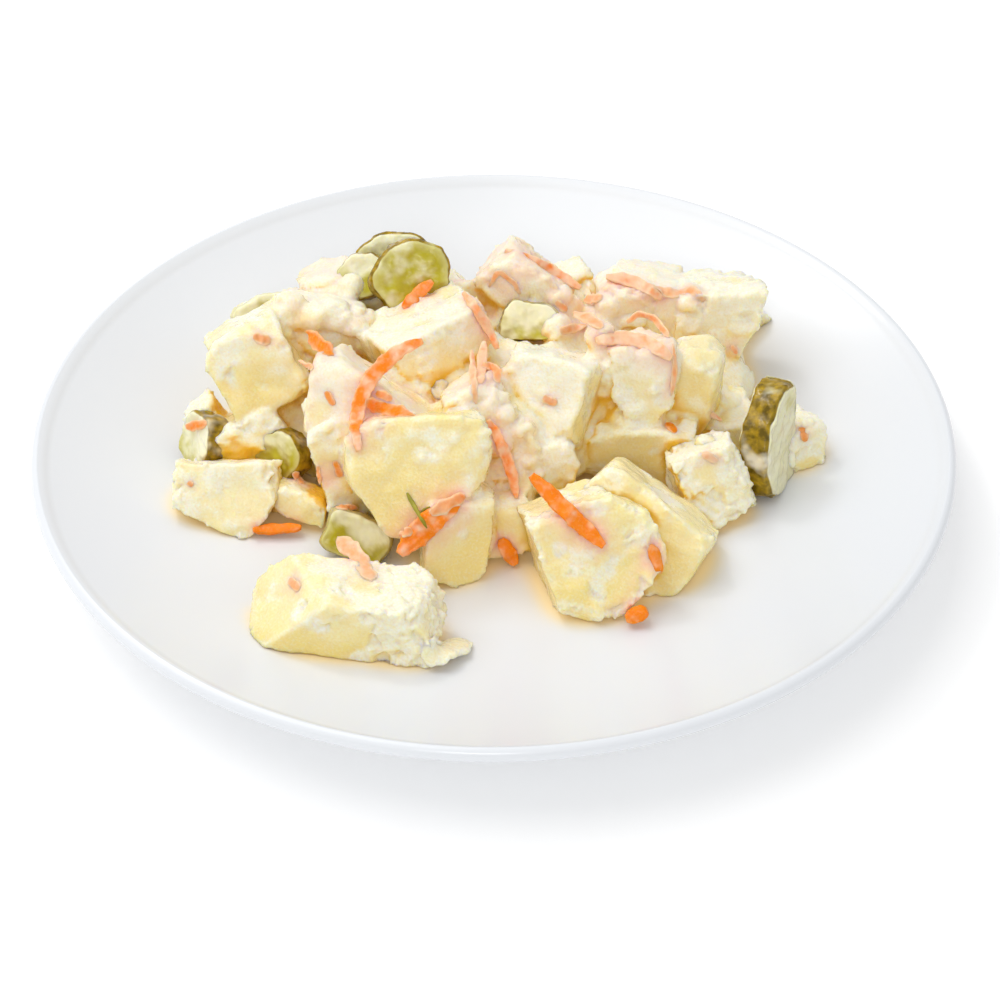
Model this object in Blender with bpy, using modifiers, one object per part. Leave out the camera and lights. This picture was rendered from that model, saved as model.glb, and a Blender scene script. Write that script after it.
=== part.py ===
"""A helping of potato salad on a white coupe plate.

Boiled potato is cut in rough chunks, bound with a creamy dressing, and mixed
with gherkin slices and grated carrot. The middle of the helping is a heap of
chunks pressed together, and a few chunks lie round it on the bare plate.

Blender's metres, +Z up. The origin is the middle of the plate's foot, on the
table. Sizes in the tables are millimetres and degrees, and MM turns them to
metres. The helping is seen from -Y, and +X is on that viewer's right.
"""

import math
import random
from collections import namedtuple

import bmesh
import bpy
from mathutils import Matrix, Vector, noise

MM = 0.001
OBJECT_NAME = "potato_salad_plate"

# The plate: a coupe, with no separate rim, that stands on a low foot ring.
PLATE_RADIUS = 125.0
PLATE_HEIGHT = 24.0
PLATE_WALL = 4.2
PLATE_STEPS = 64
FLOOR_HEIGHT = 6.5
FLOOR_RADIUS = 62.0
FOOT_RADIUS = 70.0
FOOT_WIDTH = 4.0
FOOT_HEIGHT = 2.2
FOOT_TAPER = 0.8
WALL_CURVE = 1.9
LIP_REACH = 2.0
WALL_STEPS = 5

# Pieces that touch keep this gap, and a cutter is its piece grown by it.
GAP = 0.45
PLATE_GAP = 0.35
CUTTER_STEPS = 8
CUTTER_BOTTOM = -10.0

# How a knife leaves boiled potato: cuts a little off square, worn edges, a rough skin.
CUT_SKEW = 0.09
SMALL_CHUNK = 30.0
RELIEF = 0.6
CORE_RELIEF = 4.0
RELIEF_WAVE = 7.0

# A gherkin slice: a ribbed disc with blunted edges, here and there cut flat.
DISC_STEPS = 20
RIBS = 5
RIB_SHARE = 0.025
BLUNTING = 0.7
SHARP_ANGLE = 1.0
KNIFE_SNAP = 0.8

# A carrot shred is cut in stations along its length, and thins by this share at its ends.
SHRED_STATIONS = 5
END_SHARE = 0.55
STRAIGHT = 1e-6

Chunk = namedtuple("Chunk", "name place size turn edge seed cuts", defaults=((),))
Lump = namedtuple("Lump", "place size")
Slice = namedtuple("Slice", "name place size turn keep square", defaults=(1.0, 2.0))
Shred = namedtuple("Shred", "name place size turn bend twist")

# A turn is (spin, lean, yaw): spin anticlockwise as the viewer sees it, lean
# back from the viewer, yaw anticlockwise from above. A chunk's edge is the
# power that squares it off, and 4 is soft, 12 crisp. Each of its further cuts
# is (angle, tilt, distance) from the middle: the angle runs anticlockwise from
# the viewer's right on the broad face, and tilt turns the cut to the viewer.
HEAP_CHUNKS = (
    Chunk("left_wedge", (-63.8, 14, 33), (21.5, 22, 26), (29, 26, 0), 10, 1),
    Chunk("left_top", (-47, 27, 36), (23, 20, 16), (-4, 20, 0), 4, 2),
    Chunk("left_back", (-46, 46, 33), (15, 16, 16), (12, 12, 10), 5, 3),
    Chunk("top_middle", (-17, 19, 35), (31, 27, 22), (14, 14, 28), 8, 4, ((-70, 24, 10),)),
    Chunk("tall_middle", (-30, -9, 38.5), (36, 22, 24), (0, 25, -4), 9, 5, ((58, 0, 4.6),)),
    Chunk("slab_middle", (-41, -15, 23), (13, 20, 34), (8, 18, 12), 8, 6),
    Chunk(
        "front_middle", (-20, -27, 28), (38, 23, 31), (0, 34, 2), 6, 7,
        ((216, 0, 15.6), (-40, 0, 14.2), (133, 0, 20)),
    ),
    Chunk("front_low", (-10.2, -36.5, 16.8), (17, 17, 24), (-12, 14, 12), 7, 8),
    Chunk("cube", (14.8, 1, 32), (24.5, 21, 23.5), (-5, 31, -20), 16, 9),
    Chunk("central", (0, -10, 28), (17, 20, 32), (24, 26, 8), 6, 10),
    Chunk("lump", (14, -14, 21), (14, 13, 13), (0, 20, 20), 4, 11),
    Chunk("low_middle", (4, -30, 15), (14, 15, 14), (10, 10, 0), 6, 12),
    Chunk(
        "white_upright", (39.5, 8, 32.4), (18, 17, 22), (0, 20, 8), 9, 13,
        ((-45, 0, 9.4), (214, 0, 9.2)),
    ),
    Chunk("smooth_upright", (55.5, 13, 26.8), (13.5, 17, 26), (0, 14, -12), 4.5, 14),
    Chunk("back_right", (63, 43, 23), (23, 22, 31), (1, 12, -10), 13, 15, ((-22, 0, 9),)),
    Chunk("back_middle", (42, 47, 28), (26, 22, 20), (-4, 14, 4), 7, 16),
    Chunk("under_right", (40, 2, 15), (30, 20, 18), (0, 10, 0), 6, 17),
    Chunk("flat_right", (64, 15, 12), (18, 18, 11), (4, 0, 20), 8, 18),
    Chunk("pink_back", (9.4, 48, 35), (25, 20, 15), (-38, 20, 0), 8, 19),
    Chunk("pale_back", (23, 62, 27), (10, 10, 9), (10, 0, 30), 8, 20),
    Chunk("tiny_left", (-79, 9, 19), (9, 9, 9), (30, 10, 0), 6, 21),
    Chunk("small_left", (-67, 1, 18), (21, 13, 13), (32, 16, 6), 8, 22),
    Chunk("rear_left", (-60, 45, 15), (26, 22, 24), (0, 0, 25), 7, 23),
    Chunk("rear_middle", (-23, 52, 23), (28, 20, 26), (0, 0, -12), 7, 24),
    Chunk("rear_right", (44, 65, 14), (24, 18, 17), (0, 0, 16), 7, 25),
    Chunk("rear_centre", (12, 60, 16), (27, 20, 20), (0, -8, 8), 7, 26),
    Chunk("rear_low", (-40, 60, 13), (22, 18, 16), (0, -6, -24), 7, 27),
    Chunk("rear_side", (70, 62, 12), (17, 15, 13), (0, -6, 40), 6, 28),
    Chunk("pink_gap", (-8, 46, 30.5), (13, 12, 13), (-20, 20, 30), 5, 29),
)

# Mashed potato and dressing hold the heap together under the chunks.
HEAP_CORE = (
    Lump((-42, 20, 12), (66, 54, 26)),
    Lump((0, 18, 16), (72, 78, 38)),
    Lump((46, 34, 12), (58, 58, 26)),
)

LOOSE_CHUNKS = (
    Chunk(
        "potato_front_left", (-37.5, -68.5, 16.2), (51, 19, 19), (0, 8, -2), 8, 31,
        ((133, 24, 12.6), (22, 0, 23), (-20, 0, 25)),
    ),
    Chunk(
        "potato_front_right", (27, -45, 16.6), (31, 23, 33), (12, 30, 8), 9, 32,
        ((-50, 0, 13.5), (-130, 0, 17.5), (48, 0, 16)),
    ),
    Chunk("potato_right", (58, -14, 15), (19, 17, 21), (14, 24, 10), 7, 33, ((-132, 0, 11),)),
    Chunk("potato_smooth", (37.6, -36, 14), (36, 19, 27), (-28, 34, -12), 5, 34),
    Chunk(
        "potato_left", (-71, -17, 11), (29, 16, 20), (0, 34, 0), 12, 35,
        ((244, 0, 8.1), (-41, 0, 10)),
    ),
    Chunk("potato_left_small", (-52, -18, 11), (14, 12, 8), (-8, 24, -6), 7, 36),
    Chunk("potato_far_right", (84, 4, 14), (12, 12, 16), (0, 10, 20), 6, 37),
)

# A gherkin slice's size is width, thickness and height of the whole disc, and
# keep is the share of the height that the knife left, from the top down. Its
# outline is round at a square of 2, and nears a rectangle as that grows.
GHERKINS = (
    Slice("gherkin_top", (-23, 37, 46), (23, 6, 21), (20, 34, 12)),
    Slice("gherkin_top_left", (-36, 43, 42), (15, 6, 13), (12, 40, -10)),
    Slice("gherkin_top_rear", (-27, 51, 41), (24, 5, 18), (-4, 34, 0)),
    Slice("gherkin_low", (-36, -34, 12), (18, 6, 12.5), (-28, 30, 0), 1.0, 6.0),
    Slice("gherkin_middle", (10, 33, 32), (19, 9, 14), (0, 44, 0), 0.8),
    Slice("gherkin_left", (-79, 0, 17), (16, 7, 17), (0, 20, -60)),
    Slice("gherkin_left_front", (-57, -6, 17), (15, 7, 15), (0, 30, -35)),
    Slice("gherkin_back_left", (-63, 39, 31.5), (20.5, 8, 12), (14, 40, 6), 1.0, 2.6),
    Slice("gherkin_right", (77, -1, 21), (33, 9, 33), (86, 8, 62), 0.6),
)

# A shred's size is length, thickness and width. It bends upwards in the plane
# of its broad face, and twist turns one end against the other.
CARROT_SHREDS = (
    Shred("carrot_arch", (-32.6, -14.2, 48.2), (38, 1.8, 4.2), (52, 54, 12), 85, 10),
    Shred("carrot_front_right", (18.9, -47, 32), (26, 2.2, 4.6), (-50, 46, 8), -6, 10),
    Shred("carrot_front", (-17, -42, 23), (21, 2.4, 6.4), (36, 40, 10), 14, 10),
    Shred("carrot_back", (14.2, 51, 39.6), (24, 2.0, 3.4), (-36, 44, 16), 14, 0),
    Shred("carrot_upright", (38.5, 10, 44), (22, 2.0, 4.6), (-14, 56, 0), 60, 20),
    Shred("carrot_gherkin", (-21, 31.5, 44), (11, 2.0, 3.6), (38, 40, 6), 0, 0),
    Shred("carrot_centre", (3.5, -21.5, 29), (22, 2.0, 3.2), (-70, 36, 0), 24, 0),
    Shred("carrot_drape", (-3, 18.4, 45.2), (18, 2.0, 2.8), (-58, 40, 0), 20, 0),
    Shred("carrot_pale", (-3, 0, 43.5), (14, 2.0, 2.8), (86, 68, 0), 0, 0),
    Shred("carrot_back_right", (40, 42.8, 39.9), (17, 2.0, 3.6), (-22, 44, 0), 40, 10),
    Shred("carrot_low", (4, -37, 9.5), (8, 2.0, 4.0), (-60, 30, 0), 0, 0),
    Shred("carrot_left_low", (-58, -26, 8.0), (13, 2.0, 3.0), (3, 60, 0), 0, 0),
    Shred("carrot_side_bit", (42, -50, 18.5), (8, 2.0, 3.4), (-80, 40, 14), 20, 0),
    Shred("carrot_plate_bit", (37, -61, 9), (6, 3.0, 4.4), (20, 30, 0), 0, 0),
)


def new_object(name, mesh, group):
    """An object for a mesh, in a collection."""
    made = bpy.data.objects.new(name, mesh)
    group.objects.link(made)
    return made


def mesh_from(bm, name):
    """The mesh of a bmesh, which is then freed."""
    mesh = bpy.data.meshes.new(name)
    bm.to_mesh(mesh)
    bm.free()
    return mesh


def placing(place, turn):
    """The matrix that takes a piece from its own axes to its place, in metres."""
    spin, lean, yaw = (math.radians(angle) for angle in turn)
    turned = (
        Matrix.Rotation(yaw, 4, "Z")
        @ Matrix.Rotation(-lean, 4, "X")
        @ Matrix.Rotation(-spin, 4, "Y")
    )
    return Matrix.Translation(Vector(place) * MM) @ turned


def material(name, colour, roughness):
    """A plain Principled material."""
    made = bpy.data.materials.new(name)
    made.use_nodes = True
    shader = made.node_tree.nodes["Principled BSDF"]
    shader.inputs["Base Color"].default_value = (*colour, 1.0)
    shader.inputs["Roughness"].default_value = roughness
    shader.inputs["Metallic"].default_value = 0.0
    return made


# The plate's turned profile.


def well_height(radius):
    """Height of the plate's upper face: a flat floor, then a wall that curves up to the lip."""
    reach = (radius - FLOOR_RADIUS) / (PLATE_RADIUS - PLATE_WALL / 2 - FLOOR_RADIUS)
    rise = PLATE_HEIGHT - PLATE_WALL * 0.25 - FLOOR_HEIGHT
    return FLOOR_HEIGHT + rise * max(reach, 0.0) ** WALL_CURVE


def plate_profile():
    """Points (radius, height) from the middle of the floor, over the lip and down to the foot."""
    lip = PLATE_RADIUS - PLATE_WALL / 2
    wall = lip - LIP_REACH - FLOOR_RADIUS
    inner = [0.0] + [FLOOR_RADIUS + wall * step / WALL_STEPS for step in range(WALL_STEPS + 1)]
    points = [(radius, well_height(radius)) for radius in inner]
    middle = PLATE_HEIGHT - PLATE_WALL / 2
    for angle in (90, 45, 0, -45, -90):
        along = math.radians(angle)
        points.append(
            (
                lip + PLATE_WALL / 2 * math.cos(along),
                middle + PLATE_WALL / 2 * math.sin(along),
            )
        )
    for step in range(WALL_STEPS - 1, 0, -1):
        radius = FOOT_RADIUS + (lip - FOOT_RADIUS) * step / WALL_STEPS
        points.append((radius, well_height(radius) - PLATE_WALL))
    points += [
        (FOOT_RADIUS, FOOT_HEIGHT),
        (FOOT_RADIUS - FOOT_TAPER, 0.0),
        (FOOT_RADIUS - FOOT_WIDTH, 0.0),
        (FOOT_RADIUS - FOOT_WIDTH - FOOT_TAPER, FOOT_HEIGHT),
        (0.0, FOOT_HEIGHT),
    ]
    return points


def turned(name, points, group):
    """A profile of (radius, height) points turned round Z by a Screw modifier."""
    bm = bmesh.new()
    verts = [bm.verts.new((radius * MM, 0.0, height * MM)) for radius, height in points]
    for first, second in zip(verts, verts[1:]):
        bm.edges.new((first, second))
    made = new_object(name, mesh_from(bm, name), group)
    screw = made.modifiers.new("turn", "SCREW")
    screw.steps = PLATE_STEPS
    screw.render_steps = PLATE_STEPS
    screw.use_merge_vertices = True
    screw.merge_threshold = 0.00002
    screw.use_smooth_shade = True
    return made


def under_the_food(group):
    """A cutter that is all of the space below the plate's upper face, raised by the gap."""
    wall = PLATE_RADIUS - FLOOR_RADIUS
    radii = [0.0] + [FLOOR_RADIUS + wall * step / CUTTER_STEPS for step in range(CUTTER_STEPS + 1)]
    points = [(radius, well_height(radius) + PLATE_GAP) for radius in radii]
    points += [(PLATE_RADIUS, CUTTER_BOTTOM), (0.0, CUTTER_BOTTOM)]
    return turned("space_under_the_food", points, group)


# The potato.


def knife_cuts(chunk):
    """The planes that bound a chunk, each (outward normal, distance from the middle)."""
    draw = random.Random(chunk.seed)
    planes = []
    for axis in range(3):
        for side in (-1, 1):
            normal = Vector([draw.uniform(-CUT_SKEW, CUT_SKEW) for _ in range(3)])
            normal[axis] = side
            planes.append((normal.normalized(), chunk.size[axis] / 2))
    for angle, tilt, distance in chunk.cuts:
        turn, rise = math.radians(angle), math.radians(tilt)
        flat = math.cos(rise)
        normal = Vector((math.cos(turn) * flat, -math.sin(rise), math.sin(turn) * flat))
        planes.append((normal, distance))
    return planes


def chunk_point(cube_point, chunk, planes):
    """Where a point on the skin of the cube from -1 to 1 lands on a chunk, in millimetres.

    Along a direction, each plane alone would be met at its distance over the
    cosine. The inverses of those are added as a power norm, which rounds the
    edges between the planes, and a slow noise roughens the outcome.
    """
    direction = Vector(side * axis for side, axis in zip(chunk.size, cube_point)).normalized()
    shares = [max(0.0, normal.dot(direction)) / distance for normal, distance in planes]
    reach = sum(share**chunk.edge for share in shares) ** (-1.0 / chunk.edge)
    point = direction * reach
    sample = point / RELIEF_WAVE + Vector((chunk.seed * 7.3, 0, 0))
    return point + direction * noise.noise(sample) * RELIEF


def potato_chunk(chunk, group):
    """One chunk: a cube primitive, subdivided and carried into the chunk's shape."""
    planes = knife_cuts(chunk)
    bm = bmesh.new()
    bmesh.ops.create_cube(bm, size=2.0)
    cuts = 2 if max(chunk.size) < SMALL_CHUNK else 3
    bmesh.ops.subdivide_edges(bm, edges=bm.edges[:], cuts=cuts, use_grid_fill=True)
    for vert in bm.verts:
        vert.co = chunk_point(vert.co, chunk, planes) * MM
    bm.transform(placing(chunk.place, chunk.turn))
    return new_object(chunk.name, mesh_from(bm, chunk.name), group)


def core_lump(index, lump, group):
    """One soft lump of the heap's core, from an icosphere."""
    bm = bmesh.new()
    bmesh.ops.create_icosphere(bm, subdivisions=2, radius=0.5)
    for vert in bm.verts:
        point = Vector(side * axis for side, axis in zip(lump.size, vert.co))
        point += vert.co * CORE_RELIEF * noise.noise(point / RELIEF_WAVE)
        vert.co = (point + Vector(lump.place)) * MM
    name = f"core_{index}"
    return new_object(name, mesh_from(bm, name), group)


# The gherkins and the carrot.


def gherkin_slice(piece, group):
    """A disc cut across a gherkin, its axis along Y, with a part cut away where keep is under 1.

    Its outline is a superellipse with a few ribs on it.
    """
    width, thickness, height = piece.size
    bm = bmesh.new()
    bmesh.ops.create_cone(
        bm,
        cap_ends=True,
        segments=DISC_STEPS,
        radius1=0.5,
        radius2=0.5,
        depth=1.0,
        matrix=Matrix.Rotation(math.radians(90), 4, "X"),
    )
    for vert in bm.verts:
        x, depth, z = vert.co
        angle = math.atan2(z, x)
        rib = 1 + RIB_SHARE * math.cos(RIBS * angle + len(piece.name))
        power = piece.square
        rib *= (abs(math.cos(angle)) ** power + abs(math.sin(angle)) ** power) ** (-1 / power)
        vert.co = Vector((width * x * rib, thickness * depth, height * z * rib)) * MM
    if piece.keep < 1:
        geometry = bm.verts[:] + bm.edges[:] + bm.faces[:]
        level = Vector((0, 0, (0.5 - piece.keep) * height * MM))
        cut = bmesh.ops.bisect_plane(
            bm,
            geom=geometry,
            dist=KNIFE_SNAP * MM,
            use_snap_center=True,
            plane_co=level,
            plane_no=(0, 0, -1),
            clear_outer=True,
        )
        rim = [part for part in cut["geom_cut"] if isinstance(part, bmesh.types.BMEdge)]
        bmesh.ops.edgenet_fill(bm, edges=rim)
        bmesh.ops.recalc_face_normals(bm, faces=bm.faces[:])
    bmesh.ops.bevel(
        bm,
        geom=[edge for edge in bm.edges if edge.calc_face_angle(0) > SHARP_ANGLE],
        offset=BLUNTING * MM,
        segments=1,
        affect="EDGES",
    )
    bm.transform(placing(piece.place, piece.turn))
    return new_object(piece.name, mesh_from(bm, piece.name), group)


def carrot_shred(piece, group):
    """A strip along X, its broad face turned to -Y, bent to an arc, twisted, thin at its ends."""
    length, thickness, width = piece.size
    bend = math.radians(piece.bend) or STRAIGHT
    radius = length / bend
    bm = bmesh.new()
    bmesh.ops.create_cube(bm, size=1.0)
    along = [edge for edge in bm.edges if abs(edge.verts[0].co.x - edge.verts[1].co.x) > 0.5]
    bmesh.ops.subdivide_edges(bm, edges=along, cuts=SHRED_STATIONS)
    for vert in bm.verts:
        share = vert.co.x
        slim = 1 - END_SHARE * abs(2 * share) ** 3
        across = Vector((0, thickness * vert.co.y, width * slim * vert.co.z))
        across.rotate(Matrix.Rotation(math.radians(piece.twist) * share, 3, "X"))
        angle = bend * share
        outward = Vector((math.sin(angle), 0, math.cos(angle)))
        line = outward * radius - Vector((0, 0, radius))
        vert.co = (line + outward * across.z + Vector((0, across.y, 0))) * MM
    bm.transform(placing(piece.place, piece.turn))
    return new_object(piece.name, mesh_from(bm, piece.name), group)


# Joining and clearing.


def apply_boolean(target, others, operation):
    """Joins or cuts target with all of the others in one Boolean, and applies it.

    The manifold solver takes closed bodies only and leaves a closed body.
    """
    operands = bpy.data.collections.new("operands")
    bpy.context.scene.collection.children.link(operands)
    for other in others:
        operands.objects.link(other)
    modifier = target.modifiers.new("boolean", "BOOLEAN")
    modifier.operation = operation
    modifier.operand_type = "COLLECTION"
    modifier.solver = "MANIFOLD"
    modifier.collection = operands
    bpy.context.view_layer.update()
    evaluated = target.evaluated_get(bpy.context.evaluated_depsgraph_get())
    mesh = bpy.data.meshes.new_from_object(evaluated)
    target.modifiers.clear()
    target.data = mesh
    bpy.data.collections.remove(operands)


def islands_of(bm):
    """The connected groups of faces of a bmesh."""
    left = set(bm.faces)
    found = []
    while left:
        todo = [left.pop()]
        island = set(todo)
        while todo:
            for edge in todo.pop().edges:
                for face in edge.link_faces:
                    if face in left:
                        left.remove(face)
                        island.add(face)
                        todo.append(face)
        found.append(island)
    return found


def keep_largest_body(target):
    """Drops scraps and fills sealed hollows: only the outer skin of the largest body stays."""
    bm = bmesh.new()
    bm.from_mesh(target.data)
    bmesh.ops.triangulate(bm, faces=bm.faces[:])
    bmesh.ops.dissolve_degenerate(bm, edges=bm.edges[:], dist=0.01 * MM)

    def volume(island):
        return sum(
            face.verts[0].co.dot(face.verts[1].co.cross(face.verts[2].co)) for face in island
        )

    largest = max(islands_of(bm), key=volume)
    scraps = [face for face in bm.faces if face not in largest]
    bmesh.ops.delete(bm, geom=scraps, context="FACES")
    bm.to_mesh(target.data)
    bm.free()


def grown(source, by, group):
    """A copy of an object whose vertices are moved out along their normals, to cut with."""
    bm = bmesh.new()
    bm.from_mesh(source.data)
    bmesh.ops.triangulate(bm, faces=bm.faces[:])
    bm.normal_update()
    moved = [vert.co + vert.normal * by * MM for vert in bm.verts]
    for vert, place in zip(bm.verts, moved):
        vert.co = place
    name = f"{source.name}_clearance"
    return new_object(name, mesh_from(bm, name), group)


def box_of(target):
    """Lowest and highest corner of an object's own mesh."""
    points = [vert.co for vert in target.data.vertices]
    low = Vector(min(point[axis] for point in points) for axis in range(3))
    high = Vector(max(point[axis] for point in points) for axis in range(3))
    return low, high


def boxes_meet(first, second):
    """Whether two objects' boxes overlap."""
    (low_a, high_a), (low_b, high_b) = box_of(first), box_of(second)
    return all(low_a[axis] < high_b[axis] and low_b[axis] < high_a[axis] for axis in range(3))


def clear_of(target, cutters):
    """Cuts from target whatever of the cutters reaches it, and keeps its largest body."""
    near = [cutter for cutter in cutters if boxes_meet(target, cutter)]
    if near:
        apply_boolean(target, near, "DIFFERENCE")
        keep_largest_body(target)


def main():
    for old in list(bpy.data.objects):
        bpy.data.objects.remove(old)
    scene_root = bpy.context.scene.collection
    parts = bpy.data.collections.new(OBJECT_NAME)
    helpers = bpy.data.collections.new("helpers")
    scene_root.children.link(parts)
    scene_root.children.link(helpers)

    plate = turned("plate", plate_profile(), parts)
    shreds = [carrot_shred(piece, parts) for piece in CARROT_SHREDS]
    slices = [gherkin_slice(piece, parts) for piece in GHERKINS]
    loose = [potato_chunk(piece, parts) for piece in LOOSE_CHUNKS]

    # The chunks of the heap and its core become one solid.
    chunks = [potato_chunk(piece, helpers) for piece in HEAP_CHUNKS]
    lumps = [core_lump(index, lump, helpers) for index, lump in enumerate(HEAP_CORE)]
    heap = lumps.pop()
    helpers.objects.unlink(heap)
    parts.objects.link(heap)
    heap.name = "salad_heap"
    apply_boolean(heap, chunks + lumps, "UNION")
    keep_largest_body(heap)

    # Food is soft: each piece gives way to those that lie on it, and to the plate.
    below = under_the_food(helpers)
    floor = bpy.data.meshes.new_from_object(
        below.evaluated_get(bpy.context.evaluated_depsgraph_get())
    )
    below.modifiers.clear()
    below.data = floor
    cutters = [below]
    for piece in shreds + slices + loose + [heap]:
        clear_of(piece, cutters)
        cutters.append(grown(piece, GAP, helpers))

    for helper in list(helpers.objects):
        bpy.data.objects.remove(helper)
    bpy.data.collections.remove(helpers)

    finishes = (
        ([plate], material("glazed_porcelain", (0.86, 0.87, 0.88), 0.12)),
        (loose + [heap], material("dressed_potato", (0.86, 0.76, 0.48), 0.45)),
        (slices, material("pickled_gherkin", (0.42, 0.42, 0.10), 0.30)),
        (shreds, material("grated_carrot", (0.88, 0.28, 0.05), 0.40)),
    )
    for pieces, finish in finishes:
        for piece in pieces:
            piece.data.materials.clear()
            piece.data.materials.append(finish)


main()
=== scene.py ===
# %% [markdown]
# # Potato salad on a white plate
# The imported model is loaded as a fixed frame, in metres, and everything below is put where its
# solids say. Its box is measured at once, because the finished salad may not outgrow it.

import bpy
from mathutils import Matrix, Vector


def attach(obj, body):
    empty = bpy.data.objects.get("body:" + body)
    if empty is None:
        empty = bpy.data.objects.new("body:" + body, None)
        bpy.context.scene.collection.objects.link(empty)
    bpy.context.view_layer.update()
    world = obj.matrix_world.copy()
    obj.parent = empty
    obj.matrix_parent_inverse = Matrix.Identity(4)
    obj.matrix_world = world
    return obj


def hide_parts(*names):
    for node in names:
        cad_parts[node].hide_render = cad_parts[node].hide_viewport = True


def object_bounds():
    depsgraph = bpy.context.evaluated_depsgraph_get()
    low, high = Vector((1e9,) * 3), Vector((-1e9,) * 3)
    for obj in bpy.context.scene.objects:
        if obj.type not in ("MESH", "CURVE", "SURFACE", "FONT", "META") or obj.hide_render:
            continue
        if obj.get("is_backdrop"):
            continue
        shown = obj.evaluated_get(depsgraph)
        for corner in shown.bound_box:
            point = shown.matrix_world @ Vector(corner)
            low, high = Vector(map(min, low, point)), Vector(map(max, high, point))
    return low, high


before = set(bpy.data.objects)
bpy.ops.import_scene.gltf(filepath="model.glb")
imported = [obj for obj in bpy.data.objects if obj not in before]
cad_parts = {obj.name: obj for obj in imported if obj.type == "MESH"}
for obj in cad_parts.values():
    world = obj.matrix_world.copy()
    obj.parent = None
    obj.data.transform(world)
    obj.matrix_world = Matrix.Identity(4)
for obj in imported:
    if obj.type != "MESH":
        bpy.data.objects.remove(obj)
cad_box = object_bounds()
print("solids", len(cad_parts))

# %% Imports and units
import math
import random
from collections import namedtuple

import bpy
import numpy as np
from mathutils import Matrix, Vector

# Sizes and places are in millimetres, except the camera's and the lights', which are in metres.
MM = 0.001

# TINY keeps a division by nothing from failing, and FAR is further off than any neighbour.
TINY = 1e-9
FAR = 9.0


def shown(name, data):
    """An object that shows the given data, linked to the scene."""
    made = bpy.data.objects.new(name, data)
    bpy.context.scene.collection.objects.link(made)
    return made


# %% [markdown]
# ## The camera
# The dish was photographed from the front, 40 degrees above the table, with a long lens. The
# line of sight through a pixel of the picture is needed again later, to lay dressing and small
# bits on the food: `sight_line` gives it.

# %% Camera
EYE = Vector((0.0018, -0.5339, 0.4461))
PITCH = math.radians(40.12)
LENS = 90.0
SENSOR = 36.0
PICTURE = 1000

RIGHTWARDS = Vector((1, 0, 0))
UPWARDS = Vector((0, math.sin(PITCH), math.cos(PITCH)))
FORWARDS = Vector((0, math.cos(PITCH), -math.sin(PITCH)))

camera_data = bpy.data.cameras.new("camera")
camera_data.lens = LENS
camera_data.sensor_width = SENSOR
camera = shown("camera", camera_data)
camera.location = EYE
camera.rotation_euler = (math.pi / 2 - PITCH, 0, 0)
bpy.context.scene.camera = camera


def sight_line(across, down):
    """The direction from the eye through a pixel: forwards, plus its offset from the picture's middle."""
    step = SENSOR / LENS / PICTURE
    middle = PICTURE / 2
    line = FORWARDS + RIGHTWARDS * (across - middle) * step + UPWARDS * (middle - down) * step
    return line.normalized()


print("the middle of the picture is seen along", sight_line(PICTURE / 2, PICTURE / 2))

# %% [markdown]
# ## Numbers for rough surfaces
# Boiled potato, mashed crumbs and smeared dressing have no plain formula, so their relief is
# built from noise. Each function works on all points at once. The lattice numbers are hashed
# from the cell, so the same salad comes out on each run.

# %% Noise
TEN_BITS = 1023
AXIS_FACTORS = (73856093, 19349663, 83492791)
SEED_FACTOR = 2654435761
MIXERS = ((15, 0x85EBCA6B), (13, 0xC2B2AE35))
NOISE_GAIN = 1.6


def hashed(cell, seed):
    """A whole number under 2**32 for each lattice cell: its coordinates times odd numbers, then mixed."""
    mixed = np.uint32((seed * SEED_FACTOR) % 2**32)
    for axis, factor in enumerate(AXIS_FACTORS):
        mixed = mixed ^ (cell[:, axis].astype(np.int64).astype(np.uint32) * np.uint32(factor))
    for shift, factor in MIXERS:
        mixed = (mixed ^ (mixed >> np.uint32(shift))) * np.uint32(factor)
    return mixed ^ (mixed >> np.uint32(16))


def hashed_point(cell, seed):
    """Three numbers from 0 to 1 for each cell, ten bits of its hashed number each."""
    mixed = hashed(cell, seed)
    bits = [(mixed >> np.uint32(10 * axis)) & np.uint32(TEN_BITS) for axis in range(3)]
    return np.stack(bits, axis=1) / TEN_BITS


def corners_of(blend):
    """A cell's eight corners, each with its share at points that lie so far along each side of the cell."""
    for corner in np.ndindex(2, 2, 2):
        yield corner, np.where(np.array(corner, bool), blend, 1 - blend).prod(axis=1)


def noise(points, wave, seed=0):
    """Gradient noise, about -1 to 1: slopes hashed at a cell's corners, blended smoothly inside it."""
    grid = points / wave
    cell = np.floor(grid)
    inside = grid - cell
    total = np.zeros(len(points))
    for corner, share in corners_of(inside**3 * (inside * (inside * 6 - 15) + 10)):
        slope = hashed_point(cell + corner, seed) * 2 - 1
        total += share * (slope * (inside - corner)).sum(axis=1)
    return total * NOISE_GAIN


def layered(points, wave, seed=0, layers=3):
    """Noise, plus the same at half the size and half the strength, once more for each layer."""
    return sum(noise(points, wave / 2**layer, seed + layer) / 2**layer for layer in range(layers))


def ease(low, high, values):
    """A smooth step: 0 below low, 1 above high, and 3t2 - 2t3 between."""
    share = np.clip((values - low) / (high - low), 0, 1)
    return share * share * (3 - 2 * share)


def flaked(points, size, seed, level, border):
    """Flakes round hashed spots: each stands out by its number less a level, and ends at its border.

    A point belongs to its nearest spot, and is at a border where the next one is as near.
    """
    grid = points / size
    cell = np.floor(grid)
    nearest = np.full(len(points), FAR)
    second = np.full(len(points), FAR)
    number = np.zeros(len(points))
    for step in np.ndindex(3, 3, 3):
        here = cell + np.array(step) - 1
        away = np.linalg.norm(grid - here - hashed_point(here, seed), axis=1)
        closer = away < nearest
        second = np.where(closer, nearest, np.minimum(second, away))
        number = np.where(closer, hashed(here, seed + 1) / 2**32, number)
        nearest = np.minimum(nearest, away)
    return (number - level) * ease(0.0, border, second - nearest)


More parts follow.
